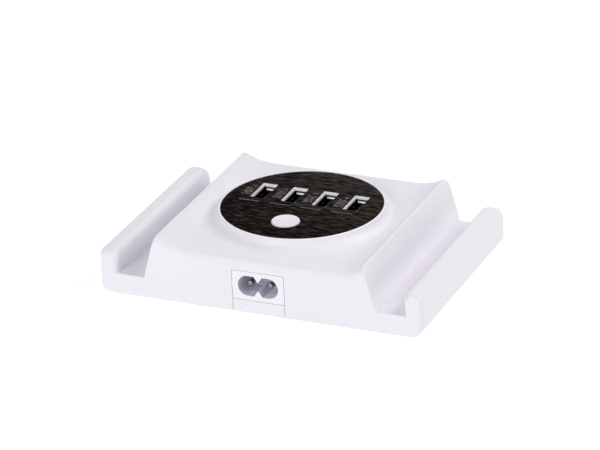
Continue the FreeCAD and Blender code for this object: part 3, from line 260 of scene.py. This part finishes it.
def noise(finish, scale, detail=2.0, stretch=(1.0, 1.0, 1.0)):
    """Cloudy pattern from 0 to 1, mostly near a half."""
    texture = finish.node_tree.nodes.new("ShaderNodeTexNoise")
    texture.inputs["Scale"].default_value = scale
    texture.inputs["Detail"].default_value = detail
    finish.node_tree.links.new(coordinates(finish, stretch), texture.inputs["Vector"])
    return texture.outputs["Fac"]


def paint(finish, pattern, stops):
    """Colour of the finish from a pattern: stops are (position, colour) pairs on a ramp."""
    tree = finish.node_tree
    ramp = tree.nodes.new("ShaderNodeValToRGB")
    ramp.color_ramp.elements[0].position = stops[0][0]
    ramp.color_ramp.elements[0].color = (*stops[0][1], 1.0)
    ramp.color_ramp.elements[1].position = stops[-1][0]
    ramp.color_ramp.elements[1].color = (*stops[-1][1], 1.0)
    for position, colour in stops[1:-1]:
        ramp.color_ramp.elements.new(position).color = (*colour, 1.0)
    tree.links.new(pattern, ramp.inputs["Fac"])
    tree.links.new(ramp.outputs["Color"], tree.nodes["Principled BSDF"].inputs["Base Color"])


def gloss(finish, pattern, low, high):
    """Roughness that runs from low to high with a pattern."""
    tree = finish.node_tree
    span = tree.nodes.new("ShaderNodeMapRange")
    span.inputs["From Min"].default_value = NOISE_LOW
    span.inputs["From Max"].default_value = NOISE_HIGH
    span.inputs["To Min"].default_value = low
    span.inputs["To Max"].default_value = high
    tree.links.new(pattern, span.inputs["Value"])
    tree.links.new(span.outputs["Result"], tree.nodes["Principled BSDF"].inputs["Roughness"])


def relief(finish, pattern, depth):
    """Fine relief of a given depth in metres, as bump."""
    tree = finish.node_tree
    bump = tree.nodes.new("ShaderNodeBump")
    bump.inputs["Strength"].default_value = 1.0
    bump.inputs["Distance"].default_value = depth
    tree.links.new(pattern, bump.inputs["Height"])
    tree.links.new(bump.outputs["Normal"], tree.nodes["Principled BSDF"].inputs["Normal"])


def shade(colour, factor):
    """A colour made lighter or darker by a factor."""
    return tuple(min(1.0, channel * factor) for channel in colour)


def along(finish, axis, start, end):
    """Factor that runs from 0 to 1 between two places on one axis of the object, in metres."""
    tree = finish.node_tree
    split = tree.nodes.new("ShaderNodeSeparateXYZ")
    tree.links.new(coordinates(finish), split.inputs["Vector"])
    span = tree.nodes.new("ShaderNodeMapRange")
    span.inputs["From Min"].default_value = start
    span.inputs["From Max"].default_value = end
    tree.links.new(split.outputs[axis], span.inputs["Value"])
    return span.outputs["Result"]


def fade(finish, factor, colour):
    """Mix the pattern that colours the finish so far with a second colour: a factor of 1 shows only
    the second."""
    tree = finish.node_tree
    base = tree.nodes["Principled BSDF"].inputs["Base Color"]
    before = base.links[0].from_socket
    mix = tree.nodes.new("ShaderNodeMixRGB")
    mix.inputs["Color2"].default_value = (*colour, 1.0)
    tree.links.new(factor, mix.inputs["Fac"])
    tree.links.new(before, mix.inputs["Color1"])
    tree.links.new(mix.outputs["Color"], base)


print("finish helpers ready")

# %% [markdown]
# ## White mouldings
# The housing, cover, button and inlet are white plastic with a cool cast. Polished steel moulds leave
# a surface that is smooth but not optically flat: a long faint ripple bends reflections, and the gloss
# drifts where the melt cooled at different speeds. One function makes all of these whites, each with
# its own tint and gloss, and later a lighter white for the frames round the sockets and the ring's lip,
# whose extra lightness is painted light.

# %% White moulded finishes
MOULDED_SPECULAR = 0.32
COOLING_SCALE = 38.0
COOLING_SHADES = [(0.25, 0.985), (0.5, 1.0), (0.75, 1.012)]
DRIFT_SCALE = 30.0
GLOSS_DRIFT = 0.02
RIPPLE_SCALE = 110.0
RIPPLE_DEPTH = 0.000005


def moulded_white(name, colour, roughness):
    """White moulding: slow noise shifts the colour and the gloss a little, and another one is the
    ripple."""
    finish = new_finish(name, colour, roughness, specular=MOULDED_SPECULAR)
    cooling = noise(finish, COOLING_SCALE, detail=3.0)
    paint(finish, cooling, [(place, shade(colour, factor)) for place, factor in COOLING_SHADES])
    drift = noise(finish, DRIFT_SCALE, detail=0.0)
    gloss(finish, drift, roughness - GLOSS_DRIFT, roughness + GLOSS_DRIFT)
    relief(finish, noise(finish, RIPPLE_SCALE, detail=1.0), RIPPLE_DEPTH)
    return finish


finishes = {
    "housing_white": moulded_white("housing_white", (0.859, 0.845, 0.890), 0.40),
    "cover_white": moulded_white("cover_white", (0.860, 0.846, 0.888), 0.40),
    "button_white": moulded_white("button_white", (0.872, 0.860, 0.915), 0.30),
}
print("white finishes:", sorted(finishes))

# %% [markdown]
# ## Inlet
# The face of the mains inlet is as white as the case, and the hole behind it is the same white plastic.
# The finish is the white moulding again, and its colour fades along Y: white on the face, and bluish
# grey from a few millimetres behind it. That grey is painted shade, darker the further into the hole.

# %% Inlet finish
INLET_LIP = 0.2 * MM
INLET_FADE = 5.5 * MM
INLET_SHADE_COLOUR = (0.67, 0.68, 0.79)

inlet_face_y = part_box("inlet_housing")[0].y
fade_start = inlet_face_y + INLET_LIP
inlet_finish = moulded_white("inlet_white", (0.885, 0.876, 0.920), 0.34)
# Painted shade: the colour turns bluish grey inside the hole.
inlet_shade_fade = along(inlet_finish, "Y", fade_start, fade_start + INLET_FADE)
fade(inlet_finish, inlet_shade_fade, INLET_SHADE_COLOUR)
finishes["inlet_white"] = inlet_finish
print("inlet face at y", round(inlet_face_y / MM, 2), "mm")

# %% [markdown]
# ## Dark disc
# The disc is a thin panel with a dark film on it that looks like brushed, stained wood: fine short
# streaks all run the same way, from left to right. A noise pattern that is stretched about six times
# along X gives the streaks, and a second, broader one makes some bands lighter than others. The film is
# matt: even at a low angle it takes no reflection of the white studio and stays nearly black, so the
# shader's specular level is nought. Its colour is made a little lighter towards the back and the right
# instead, which is a painted sheen.

# %% Dark streaked film
STREAK_STRETCH = (230.0, 1400.0, 1400.0)
BAND_STRETCH = (30.0, 300.0, 300.0)
BAND_SHARE = 0.22
BACK_SHEEN_SHARE = 0.13
RIGHT_SHEEN_SHARE = 0.06
SHEEN_HALF = 30.0 * MM
STAIN_DARK = (0.0052, 0.0040, 0.0034)
STAIN_MIDDLE = (0.0175, 0.0140, 0.0128)
STAIN_LIGHT = (0.0640, 0.0560, 0.0500)
STAIN_STOPS = [(0.56, STAIN_DARK), (0.69, STAIN_MIDDLE), (0.88, STAIN_LIGHT)]
FILM_ROUGHNESS = (0.42, 0.60)
FILM_RELIEF = 0.00002


def weighted_sum(finish, pattern, share, rest):
    """One pattern times its share, plus another pattern."""
    total = finish.node_tree.nodes.new("ShaderNodeMath")
    total.operation = "MULTIPLY_ADD"
    total.inputs[1].default_value = share
    finish.node_tree.links.new(pattern, total.inputs[0])
    finish.node_tree.links.new(rest, total.inputs[2])
    return total.outputs[0]


def streaked_film(name):
    """Dark film: streaks, plus shares of the bands and of two slopes along Y and X, set the place on
    the ramp of stains. The two slopes are a painted sheen, lighter towards the back and the right."""
    finish = new_finish(name, STAIN_MIDDLE, 0.5, specular=0.0)
    streaks = noise(finish, 1.0, detail=4.0, stretch=STREAK_STRETCH)
    bands = noise(finish, 1.0, detail=2.0, stretch=BAND_STRETCH)
    # Painted sheen: the film gets lighter towards the back and the right.
    sheen_backward = along(finish, "Y", -SHEEN_HALF, SHEEN_HALF)
    sheen_rightward = along(finish, "X", -SHEEN_HALF, SHEEN_HALF)
    stain_and_sheen = weighted_sum(finish, bands, BAND_SHARE, streaks)
    stain_and_sheen = weighted_sum(finish, sheen_backward, BACK_SHEEN_SHARE, stain_and_sheen)
    stain_and_sheen = weighted_sum(finish, sheen_rightward, RIGHT_SHEEN_SHARE, stain_and_sheen)
    paint(finish, stain_and_sheen, STAIN_STOPS)
    gloss(finish, streaks, *FILM_ROUGHNESS)
    relief(finish, streaks, FILM_RELIEF)
    return finish


finishes["disc_dark"] = streaked_film("disc_dark")
print("disc finish ready")

# %% [markdown]
# ## Metals
# The sockets' shells are nickel-plated sheet with faint rolling marks, the inlet's pins are turned and
# plated, the contacts are flashed with gold, the screws are zinc plated and the heat sinks are plain
# aluminium. They are one family: a metallic shader whose gloss varies along a stretched noise, so that
# the marks run one way. Below their mouths the shells and springs fade along Z to a nearly black
# colour, which is painted shade inside the sockets.

# %% Metal finishes
# Name, colour, roughness, and how close together the marks lie along X, Y and Z.
METALS = [
    # The shells' colour is far darker than nickel: painted shade inside the sockets.
    ("socket_metal", (0.16, 0.16, 0.165), 0.34, (2500.0, 2500.0, 160.0)),
    ("spring_metal", (0.50, 0.50, 0.53), 0.40, (2500.0, 2500.0, 160.0)),
    # The pins' colour is far darker than plated nickel: painted shade, standing for the dark they
    # reflect.
    ("pin_nickel", (0.24, 0.24, 0.235), 0.26, (3000.0, 300.0, 3000.0)),
    ("contact_gold", (0.80, 0.60, 0.26), 0.28, (1800.0, 1800.0, 200.0)),
    ("screw_steel", (0.50, 0.51, 0.53), 0.38, (1400.0, 1400.0, 1400.0)),
    ("sink_metal", (0.66, 0.66, 0.68), 0.36, (1500.0, 120.0, 1500.0)),
]
METAL_SHADES = [(NOISE_LOW, 0.86), (NOISE_HIGH, 1.08)]
METAL_RELIEF = 0.000006


def plated_metal(name, colour, roughness, stretch):
    """Metal: one stretched noise sets the marks in colour, gloss and relief."""
    finish = new_finish(name, colour, roughness, metallic=1.0)
    marks = noise(finish, 1.0, detail=3.0, stretch=stretch)
    paint(finish, marks, [(place, shade(colour, factor)) for place, factor in METAL_SHADES])
    gloss(finish, marks, roughness - 0.08, roughness + 0.10)
    relief(finish, marks, METAL_RELIEF)
    return finish


for metal_name, metal_colour, metal_roughness, metal_stretch in METALS:
    finishes[metal_name] = plated_metal(metal_name, metal_colour, metal_roughness, metal_stretch)
print("metals:", len(METALS))

# %% Painted shade inside the sockets
# Depths under the mouth between which the metal fades to the nearly black colour of painted shade.
SHELL_FADE = (0.0, 0.3 * MM)
SPRING_FADE = (0.9 * MM, 1.5 * MM)
SOCKET_SHADE_COLOUR = (0.012, 0.012, 0.013)
shell_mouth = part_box("usb_shell_1")[1].z
for metal_name, (fade_top, fade_end) in (("socket_metal", SHELL_FADE), ("spring_metal", SPRING_FADE)):
    metal = finishes[metal_name]
    fade(metal, along(metal, "Z", shell_mouth - fade_top, shell_mouth - fade_end), SOCKET_SHADE_COLOUR)
print("sockets' mouths at z", round(shell_mouth / MM, 2), "mm")

# %% [markdown]
# ## Rubber, black plastics and the parts inside
# Nothing inside the closed case shows in the picture, but the part is a whole charger, so each inner
# piece also gets the finish of its kind: epoxy blocks with a fine grain, sintered ferrite with pale
# specks, amber tape with the ridges of the wire under it, sleeved cans, and green boards on which
# copper tracks show through the mask.

# %% Matt finishes
# Name, colour, roughness, fineness of the grain, its depth in metres, its contrast, specular level.
MATT_PARTS = [
    ("foot_rubber", (0.060, 0.060, 0.064), 0.72, 2200.0, 0.00006, 0.30, 0.4),
    ("socket_black", (0.010, 0.010, 0.011), 0.60, 1500.0, 0.00002, 0.25, 0.1),
    ("part_black", (0.035, 0.035, 0.038), 0.55, 1800.0, 0.00003, 0.30, 0.4),
    ("ferrite_grey", (0.075, 0.075, 0.082), 0.62, 3200.0, 0.00005, 0.55, 0.4),
    ("can_sleeve", (0.040, 0.048, 0.085), 0.34, 700.0, 0.00002, 0.20, 0.4),
    ("line_yellow", (0.68, 0.50, 0.09), 0.46, 1200.0, 0.00003, 0.10, 0.4),
    ("print_grey", (0.16, 0.15, 0.145), 0.60, 1500.0, 0.00001, 0.45, 0.4),
]
GRAIN_GLOSS = 0.08


def grained(name, colour, roughness, scale, depth, contrast, specular):
    """Matt surface with a fine grain in colour, gloss and relief."""
    finish = new_finish(name, colour, roughness, specular=specular)
    grain = noise(finish, scale, detail=5.0)
    darker = (NOISE_LOW, shade(colour, 1.0 - contrast))
    lighter = (NOISE_HIGH, shade(colour, 1.0 + contrast))
    paint(finish, grain, [darker, lighter])
    gloss(finish, grain, roughness - GRAIN_GLOSS, roughness + GRAIN_GLOSS)
    relief(finish, grain, depth)
    return finish


for matt_part in MATT_PARTS:
    finishes[matt_part[0]] = grained(*matt_part)
print("matt finishes:", len(MATT_PARTS))

# %% Wound tape
TAPE_COLOUR = (0.70, 0.52, 0.12)
TAPE_TURNS = 420.0
TAPE_WANDER = 0.6
TAPE_RIDGE = 0.00008


def wound_tape(name):
    """Amber tape over wire: ridges across Z, one for each turn of wire."""
    finish = new_finish(name, TAPE_COLOUR, 0.34)
    tree = finish.node_tree
    turns = tree.nodes.new("ShaderNodeTexWave")
    turns.bands_direction = "Z"
    turns.inputs["Scale"].default_value = TAPE_TURNS
    turns.inputs["Distortion"].default_value = TAPE_WANDER
    tree.links.new(coordinates(finish), turns.inputs["Vector"])
    stops = [(0.0, shade(TAPE_COLOUR, 0.78)), (1.0, shade(TAPE_COLOUR, 1.06))]
    paint(finish, turns.outputs["Fac"], stops)
    gloss(finish, noise(finish, 300.0), 0.26, 0.44)
    relief(finish, turns.outputs["Fac"], TAPE_RIDGE)
    return finish


finishes["winding_tape"] = wound_tape("winding_tape")
print("tape finish ready")

# %% Circuit board
TRACK_SCALE = 260.0
TRACK_WIDTH = 0.10
TRACK_RELIEF = 0.00003
MASK_COLOUR = (0.03, 0.15, 0.07)
MASK_GREEN = (0.020, 0.115, 0.050, 1.0)
MASK_PALER_GREEN = (0.024, 0.130, 0.058, 1.0)
TRACK_GREEN = (0.050, 0.220, 0.095, 1.0)


def masked_board(name):
    """Green mask over copper: the joints of a brick pattern are tracks that show a little lighter."""
    finish = new_finish(name, MASK_COLOUR, 0.30)
    tree = finish.node_tree
    tracks = tree.nodes.new("ShaderNodeTexBrick")
    tracks.offset = 0.5
    tracks.inputs["Scale"].default_value = TRACK_SCALE
    tracks.inputs["Mortar Size"].default_value = TRACK_WIDTH
    tracks.inputs["Color1"].default_value = MASK_GREEN
    tracks.inputs["Color2"].default_value = MASK_PALER_GREEN
    tracks.inputs["Mortar"].default_value = TRACK_GREEN
    tree.links.new(coordinates(finish), tracks.inputs["Vector"])
    tree.links.new(tracks.outputs["Color"], tree.nodes["Principled BSDF"].inputs["Base Color"])
    gloss(finish, noise(finish, 500.0), 0.22, 0.38)
    relief(finish, tracks.outputs["Fac"], TRACK_RELIEF)
    return finish


finishes["board_green"] = masked_board("board_green")
print("finishes so far:", len(finishes))

# %% [markdown]
# ## Every solid gets its finish
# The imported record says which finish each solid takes, so one loop over it dresses them all.

# %% Dress the solids
slot_of = {row["node"]: row["material_slot"] for row in frame["record"]["subparts"]}
for node_name, solid in nodes.items():
    solid.data.materials.clear()
    solid.data.materials.append(finishes[slot_of[node_name]])
print("dressed solids:", len(nodes))

# %% [markdown]
# ## Small pieces from arrays
# What the solids leave out is small and thin: white frames round the sockets, the springs inside them,
# the lip of the ring and the marks printed on the disc. The first three are surfaces on a grid: a
# closed profile is carried along a path, so rows and columns of points are all that is needed. One
# helper joins the grid's points to faces, and another makes the object, gives it its finish and lets
# it ride on the case.

# %% Grid and piece helpers
DOUBLE_REACH = 0.0005 * MM


def grid_faces(rows, columns, close_rows=True, caps=False):
    """Four-cornered faces of a grid whose columns close on themselves: each point is joined to the
    next in its row and in its column. Rows can close too, or end in two caps."""
    number = np.arange(rows * columns).reshape(rows, columns)
    first = number if close_rows else number[:-1]
    second = np.roll(number, -1, axis=0) if close_rows else number[1:]
    next_first = np.roll(first, -1, axis=1)
    next_second = np.roll(second, -1, axis=1)
    corners = np.stack([first, next_first, next_second, second], axis=-1)
    faces = corners.reshape(-1, 4).tolist()
    if caps:
        faces.append(number[0, ::-1].tolist())
        faces.append(number[-1].tolist())
    return faces


def face_outwards(mesh):
    """Merge points that lie on each other, then turn every face of the closed mesh to the outside."""
    shape = bmesh.new()
    shape.from_mesh(mesh)
    bmesh.ops.remove_doubles(shape, verts=shape.verts, dist=DOUBLE_REACH)
    bmesh.ops.recalc_face_normals(shape, faces=shape.faces)
    shape.to_mesh(mesh)
    shape.free()


def add_piece(name, points, faces, finish, smooth=True):
    """Object at the origin from an array of points in metres, with its finish, riding on the case."""
    mesh = bpy.data.meshes.new(name)
    mesh.from_pydata(points.reshape(-1, 3).tolist(), [], faces)
    face_outwards(mesh)
    mesh.polygons.foreach_set("use_smooth", np.full(len(mesh.polygons), smooth))
    mesh.materials.append(finishes[finish])
    piece = bpy.data.objects.new(name, mesh)
    scene.collection.objects.link(piece)
    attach(piece, "case")


def join_grids(grids):
    """Several sets of points and faces as one: the corner numbers of each go up by the points before
    it."""
    points = [grid.reshape(-1, 3) for grid, _ in grids]
    starts = np.cumsum([0] + [len(part) for part in points[:-1]]).tolist()
    faces = []
    for (_, part_faces), start in zip(grids, starts):
        faces.extend([corner + start for corner in face] for face in part_faces)
    return np.concatenate(points), faces


print("piece helpers ready")

# %% [markdown]
# ## White frames round the sockets
# Each window in the disc shows a white wall that leads the plug into the socket. On the real charger it
# is part of the moulding and leans inwards a little, so that it catches the light. It could be cut as
# a chamfer on the solid. Here it is a thin liner: a four-cornered profile carried round a rectangle
# with small round corners. It covers the cut edge of the dark disc and ends just over the rim of the
# metal shell.

# %% Socket frames
PORTS = 4
PORT_GAP = 0.35 * MM
FRAME_CORNER = 0.9 * MM
FRAME_INSETS = np.array([-0.04, -0.01, 0.24, -0.04]) * MM
FRAME_SUNK = 0.04 * MM
FRAME_CLEAR = 0.16 * MM
CORNER_STEPS = 7
disc_low, disc_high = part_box("face_disc")


def rounded_rectangle(half_x, half_y, corner):
    """Loop of points, anticlockwise: four quarter circles of the corner radius, each about its own
    centre."""
    turn = np.linspace(0.0, np.pi / 2, CORNER_STEPS)
    quarter = np.arange(4)[:, None] * np.pi / 2 + turn
    side_x = np.array([1, -1, -1, 1])[:, None] * (half_x - corner)
    side_y = np.array([1, 1, -1, -1])[:, None] * (half_y - corner)
    loop_x = side_x + corner * np.cos(quarter)
    loop_y = side_y + corner * np.sin(quarter)
    return np.stack([loop_x, loop_y], axis=-1).reshape(-1, 2)


def socket_frame(low, high, top):
    """Liner of one window. Its profile has four corners, each an inset from the window's edge and a
    height: across the narrow top just under the disc's face, down the leaning inner wall to just over
    the shell, out to the window's edge, and back up it."""
    centre = np.array([(low.x + high.x) / 2, (low.y + high.y) / 2])
    half = np.array([(high.x - low.x) / 2, (high.y - low.y) / 2]) + PORT_GAP
    upper = top - FRAME_SUNK
    lower = high.z + FRAME_CLEAR
    heights = np.array([upper, upper, lower, lower])
    corners = FRAME_CORNER - FRAME_INSETS
    loops = [rounded_rectangle(*(half - inset), corner) for inset, corner in zip(FRAME_INSETS, corners)]
    flat = np.stack(loops) + centre
    level = np.broadcast_to(heights[:, None, None], (*flat.shape[:2], 1))
    return np.concatenate([flat, level], axis=-1)


# The frames' white is lighter than the moulding they belong to: painted light.
finishes["lit_frame_white"] = moulded_white("lit_frame_white", (0.960, 0.950, 0.975), 0.26)
for port in range(1, PORTS + 1):
    shell_low, shell_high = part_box(f"usb_shell_{port}")
    liner_points = socket_frame(shell_low, shell_high, disc_high.z)
    liner_faces = grid_faces(*liner_points.shape[:2])
    liner_name = f"socket_frame_{port}"
    add_piece(liner_name, liner_points, liner_faces, "lit_frame_white", smooth=False)
print("socket frames:", PORTS, "each", liner_points.shape[0] * liner_points.shape[1], "points")

# %% [markdown]
# ## Springs inside the sockets
# A socket's shell has sprung tongues that press on the plug: two on each wide side and one on each
# narrow side. They are stamped out of the shell's own sheet and bowed inwards. Each is a flat strip
# whose middle line leaves the wall below the mouth, bows in, and goes back to the wall lower down. The
# bow is steepest near the top, where the plug comes in. On the narrow sides the strip starts half a
# millimetre under the mouth, and its top shows as a bright bar inside the socket. On the wide sides it
# starts deeper, in the dark.

# %% Socket springs
SHELL_WALL = 0.30 * MM
SPRING_LENGTH = 5.6 * MM
SPRING_THICK = 0.25 * MM
SPRING_HASTE = 0.36
SPRING_STEPS = 25
WIDE_SIDE_PLACE = 3.1 * MM
# Depth of the top under the mouth, width and bow of the springs on the two kinds of side.
WIDE_SIDE_SPRING = (2.0 * MM, 2.0 * MM, 0.40 * MM)
NARROW_SIDE_SPRING = (0.55 * MM, 3.6 * MM, 0.55 * MM)


def spring(wall_point, inward, across, top, width, bow):
    """Bowed strip on a wall. Along the strip the height falls evenly, and the distance from the wall
    is the bow times the sine of a half turn whose angle runs faster near the top. Four corners make
    its cross section."""
    along_strip = np.linspace(0.0, 1.0, SPRING_STEPS)
    distance = bow * np.sin(np.pi * along_strip ** SPRING_HASTE) - SPRING_THICK / 2
    fall = top + SPRING_LENGTH * along_strip
    middle = wall_point + distance[:, None] * inward - fall[:, None] * np.array([0.0, 0.0, 1.0])
    run = np.gradient(middle, axis=0)
    run /= np.linalg.norm(run, axis=1, keepdims=True)
    normal = np.cross(run, across)
    side = np.array([-1, 1, 1, -1]) * width / 2
    thick = np.array([-1, -1, 1, 1]) * SPRING_THICK / 2
    points = middle[:, None] + side[None, :, None] * across + thick[None, :, None] * normal[:, None]
    return points, grid_faces(SPRING_STEPS, 4, close_rows=False, caps=True)


def socket_springs(low, high):
    """Six springs of one socket: two on each wide side and one on each narrow side."""
    centre = np.array([(low.x + high.x) / 2, (low.y + high.y) / 2, high.z])
    half_x = (high.x - low.x) / 2 - SHELL_WALL
    half_y = (high.y - low.y) / 2 - SHELL_WALL
    grids = []
    for sign in (-1.0, 1.0):
        outward_x = np.array([sign, 0.0, 0.0])
        outward_y = np.array([0.0, sign, 0.0])
        for place in (-WIDE_SIDE_PLACE, WIDE_SIDE_PLACE):
            wall_point = centre + outward_x * half_x + np.array([0.0, place, 0.0])
            grids.append(spring(wall_point, -outward_x, outward_y * sign, *WIDE_SIDE_SPRING))
        wall_point = centre + outward_y * half_y
        grids.append(spring(wall_point, -outward_y, outward_x * sign, *NARROW_SIDE_SPRING))
    return join_grids(grids)


for port in range(1, PORTS + 1):
    spring_points, spring_faces = socket_springs(*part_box(f"usb_shell_{port}"))
    springs_name = f"socket_springs_{port}"
    add_piece(springs_name, spring_points, spring_faces, "spring_metal", smooth=False)
print("springs in each socket: 6, faces:", len(spring_faces))

# %% [markdown]
# ## Lip of the ring
# The ring ends in a fine rounded lip round the disc, which shows as a bright line. It takes the frames'
# lighter white, so part of that line is a painted highlight. It is a small circle carried round a large
# one: a very thin torus that sits in the flat top of the ring's solid.

# %% Ring lip
LIP_RADIUS = 0.42 * MM
LIP_INSET = 0.02 * MM
LIP_STEPS = 180
LIP_PROFILE_STEPS = 14


def ring_lip(path_radius, bead_radius, height):
    """Torus: the distance from the axis is the path's radius plus the bead's radius times a cosine,
    and the height is the bead's radius times the sine."""
    around = np.linspace(0.0, 2 * np.pi, LIP_STEPS, endpoint=False)[:, None]
    about = np.linspace(0.0, 2 * np.pi, LIP_PROFILE_STEPS, endpoint=False)[None, :]
    reach = path_radius + bead_radius * np.cos(about)
    level = height + bead_radius * np.sin(about) + 0.0 * around
    return np.stack([reach * np.cos(around), reach * np.sin(around), level], axis=-1)


disc_radius = (disc_high.x - disc_low.x) / 2
lip_points = ring_lip(disc_radius + LIP_RADIUS + LIP_INSET, LIP_RADIUS, disc_high.z)
lip_faces = grid_faces(*lip_points.shape[:2])
add_piece("ring_lip", lip_points, lip_faces, "lit_frame_white")
print("disc radius in mm:", round(disc_radius / MM, 2))

# %% [markdown]
# ## Marks on the disc
# Small grey marks are printed beside each socket: its number, a thin rule in front, and columns of
# short dashes that stand for small print. The numbers are Blender text, which is made a mesh first and
# then turned and moved as an array. The rules and dashes are thin flat boxes. The ink is two hundredths
# of a millimetre thick, worn a little, and sits on the disc. The lengths of the dashes and the gaps are
# drawn at random from a fixed seed, so that each run prints the same.

# %% Printed marks
INK_THICK = 0.02 * MM
NUMERAL_SIZE = 2.8 * MM
# Places from the window's left edge and the socket's middle.
NUMERAL_PLACE = np.array([-2.2, 3.4]) * MM
# Place from the socket's middle and the window's front edge, then length and width.
FRONT_RULE = ((-2.1 * MM, -3.4 * MM), 9.0 * MM, 0.32 * MM)
# Columns of dashes: places from the window's left edge, then start and end along Y.
PRINT_COLUMNS = np.array([-1.2, -2.2, -3.2, -4.2]) * MM
PRINT_START = -5.8 * MM
PRINT_END = 2.3 * MM
DASHES_IN_COLUMN = 6
DASH_WIDTH = 0.60 * MM
DASH_LENGTHS = (0.3 * MM, 0.9 * MM)
DASH_GAPS = (0.2 * MM, 1.2 * MM)
PRINT_SEED = 5
BOX_FACES = [[0, 1, 3, 2], [4, 6, 7, 5], [0, 4, 5, 1], [2, 3, 7, 6], [0, 2, 6, 4], [1, 5, 7, 3]]
ink_z = disc_high.z + INK_THICK / 2


def numeral(word, size):
    """Points and faces of one flat printed character in the XY plane, centred on the origin."""
    curve = bpy.data.curves.new("numeral_" + word, "FONT")
    curve.body = word
    curve.size = size
    curve.align_x = "CENTER"
    curve.align_y = "CENTER"
    curve.extrude = INK_THICK / 2
    holder = bpy.data.objects.new("numeral_" + word, curve)
    mesh = bpy.data.meshes.new_from_object(holder)
    points = np.empty(3 * len(mesh.vertices))
    mesh.vertices.foreach_get("co", points)
    faces = [list(face.vertices) for face in mesh.polygons]
    bpy.data.objects.remove(holder)
    bpy.data.curves.remove(curve)
    bpy.data.meshes.remove(mesh)
    return points.reshape(-1, 3), faces


def rule(corner_x, corner_y, offset, length, width):
    """Thin flat box: eight corners about a centre, which lies an offset away from a given place."""
    ends = [-1, 1]
    signs = np.stack(np.meshgrid(ends, ends, ends, indexing="ij"), axis=-1).reshape(-1, 3)
    centre = np.array([corner_x + offset[0], corner_y + offset[1], ink_z])
    return centre + signs * np.array([length, width, INK_THICK]) / 2, BOX_FACES


def small_print(draws, left_x, middle_y):
    """Columns of dashes beside one socket: each dash ends at the running sum of lengths and gaps, and
    those that would reach past the end of the column, where the number stands, are left out."""
    lengths = draws.uniform(*DASH_LENGTHS, size=(len(PRINT_COLUMNS), DASHES_IN_COLUMN))
    gaps = draws.uniform(*DASH_GAPS, size=lengths.shape)
    ends = PRINT_START + np.cumsum(lengths + gaps, axis=1)
    columns = np.broadcast_to(PRINT_COLUMNS[:, None], lengths.shape)
    dashes = np.stack([columns, ends - lengths / 2, lengths], axis=-1)[ends < PRINT_END].tolist()
    return [rule(left_x, middle_y, (x, y), DASH_WIDTH, length) for x, y, length in dashes]


print_draws = np.random.default_rng(PRINT_SEED)
marks = []
for port in range(1, PORTS + 1):
    shell_low, shell_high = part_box(f"usb_shell_{port}")
    left_x = shell_low.x - PORT_GAP
    front_y = shell_low.y - PORT_GAP
    middle_x = (shell_low.x + shell_high.x) / 2
    middle_y = (shell_low.y + shell_high.y) / 2
    glyph_points, glyph_faces = numeral(str(port), NUMERAL_SIZE)
    turned_glyph = glyph_points[:, [1, 0, 2]] * np.array([-1, 1, 1])
    glyph_place = np.array([left_x + NUMERAL_PLACE[0], middle_y + NUMERAL_PLACE[1], ink_z])
    marks.append((turned_glyph + glyph_place, glyph_faces))
    marks.extend(small_print(print_draws, left_x, middle_y))
    marks.append(rule(middle_x, front_y, *FRONT_RULE))
mark_points, mark_faces = join_grids(marks)
add_piece("disc_marks", mark_points, mark_faces, "print_grey", smooth=False)
print("printed marks:", len(marks))

# %% Update the scene
bpy.context.view_layer.update()
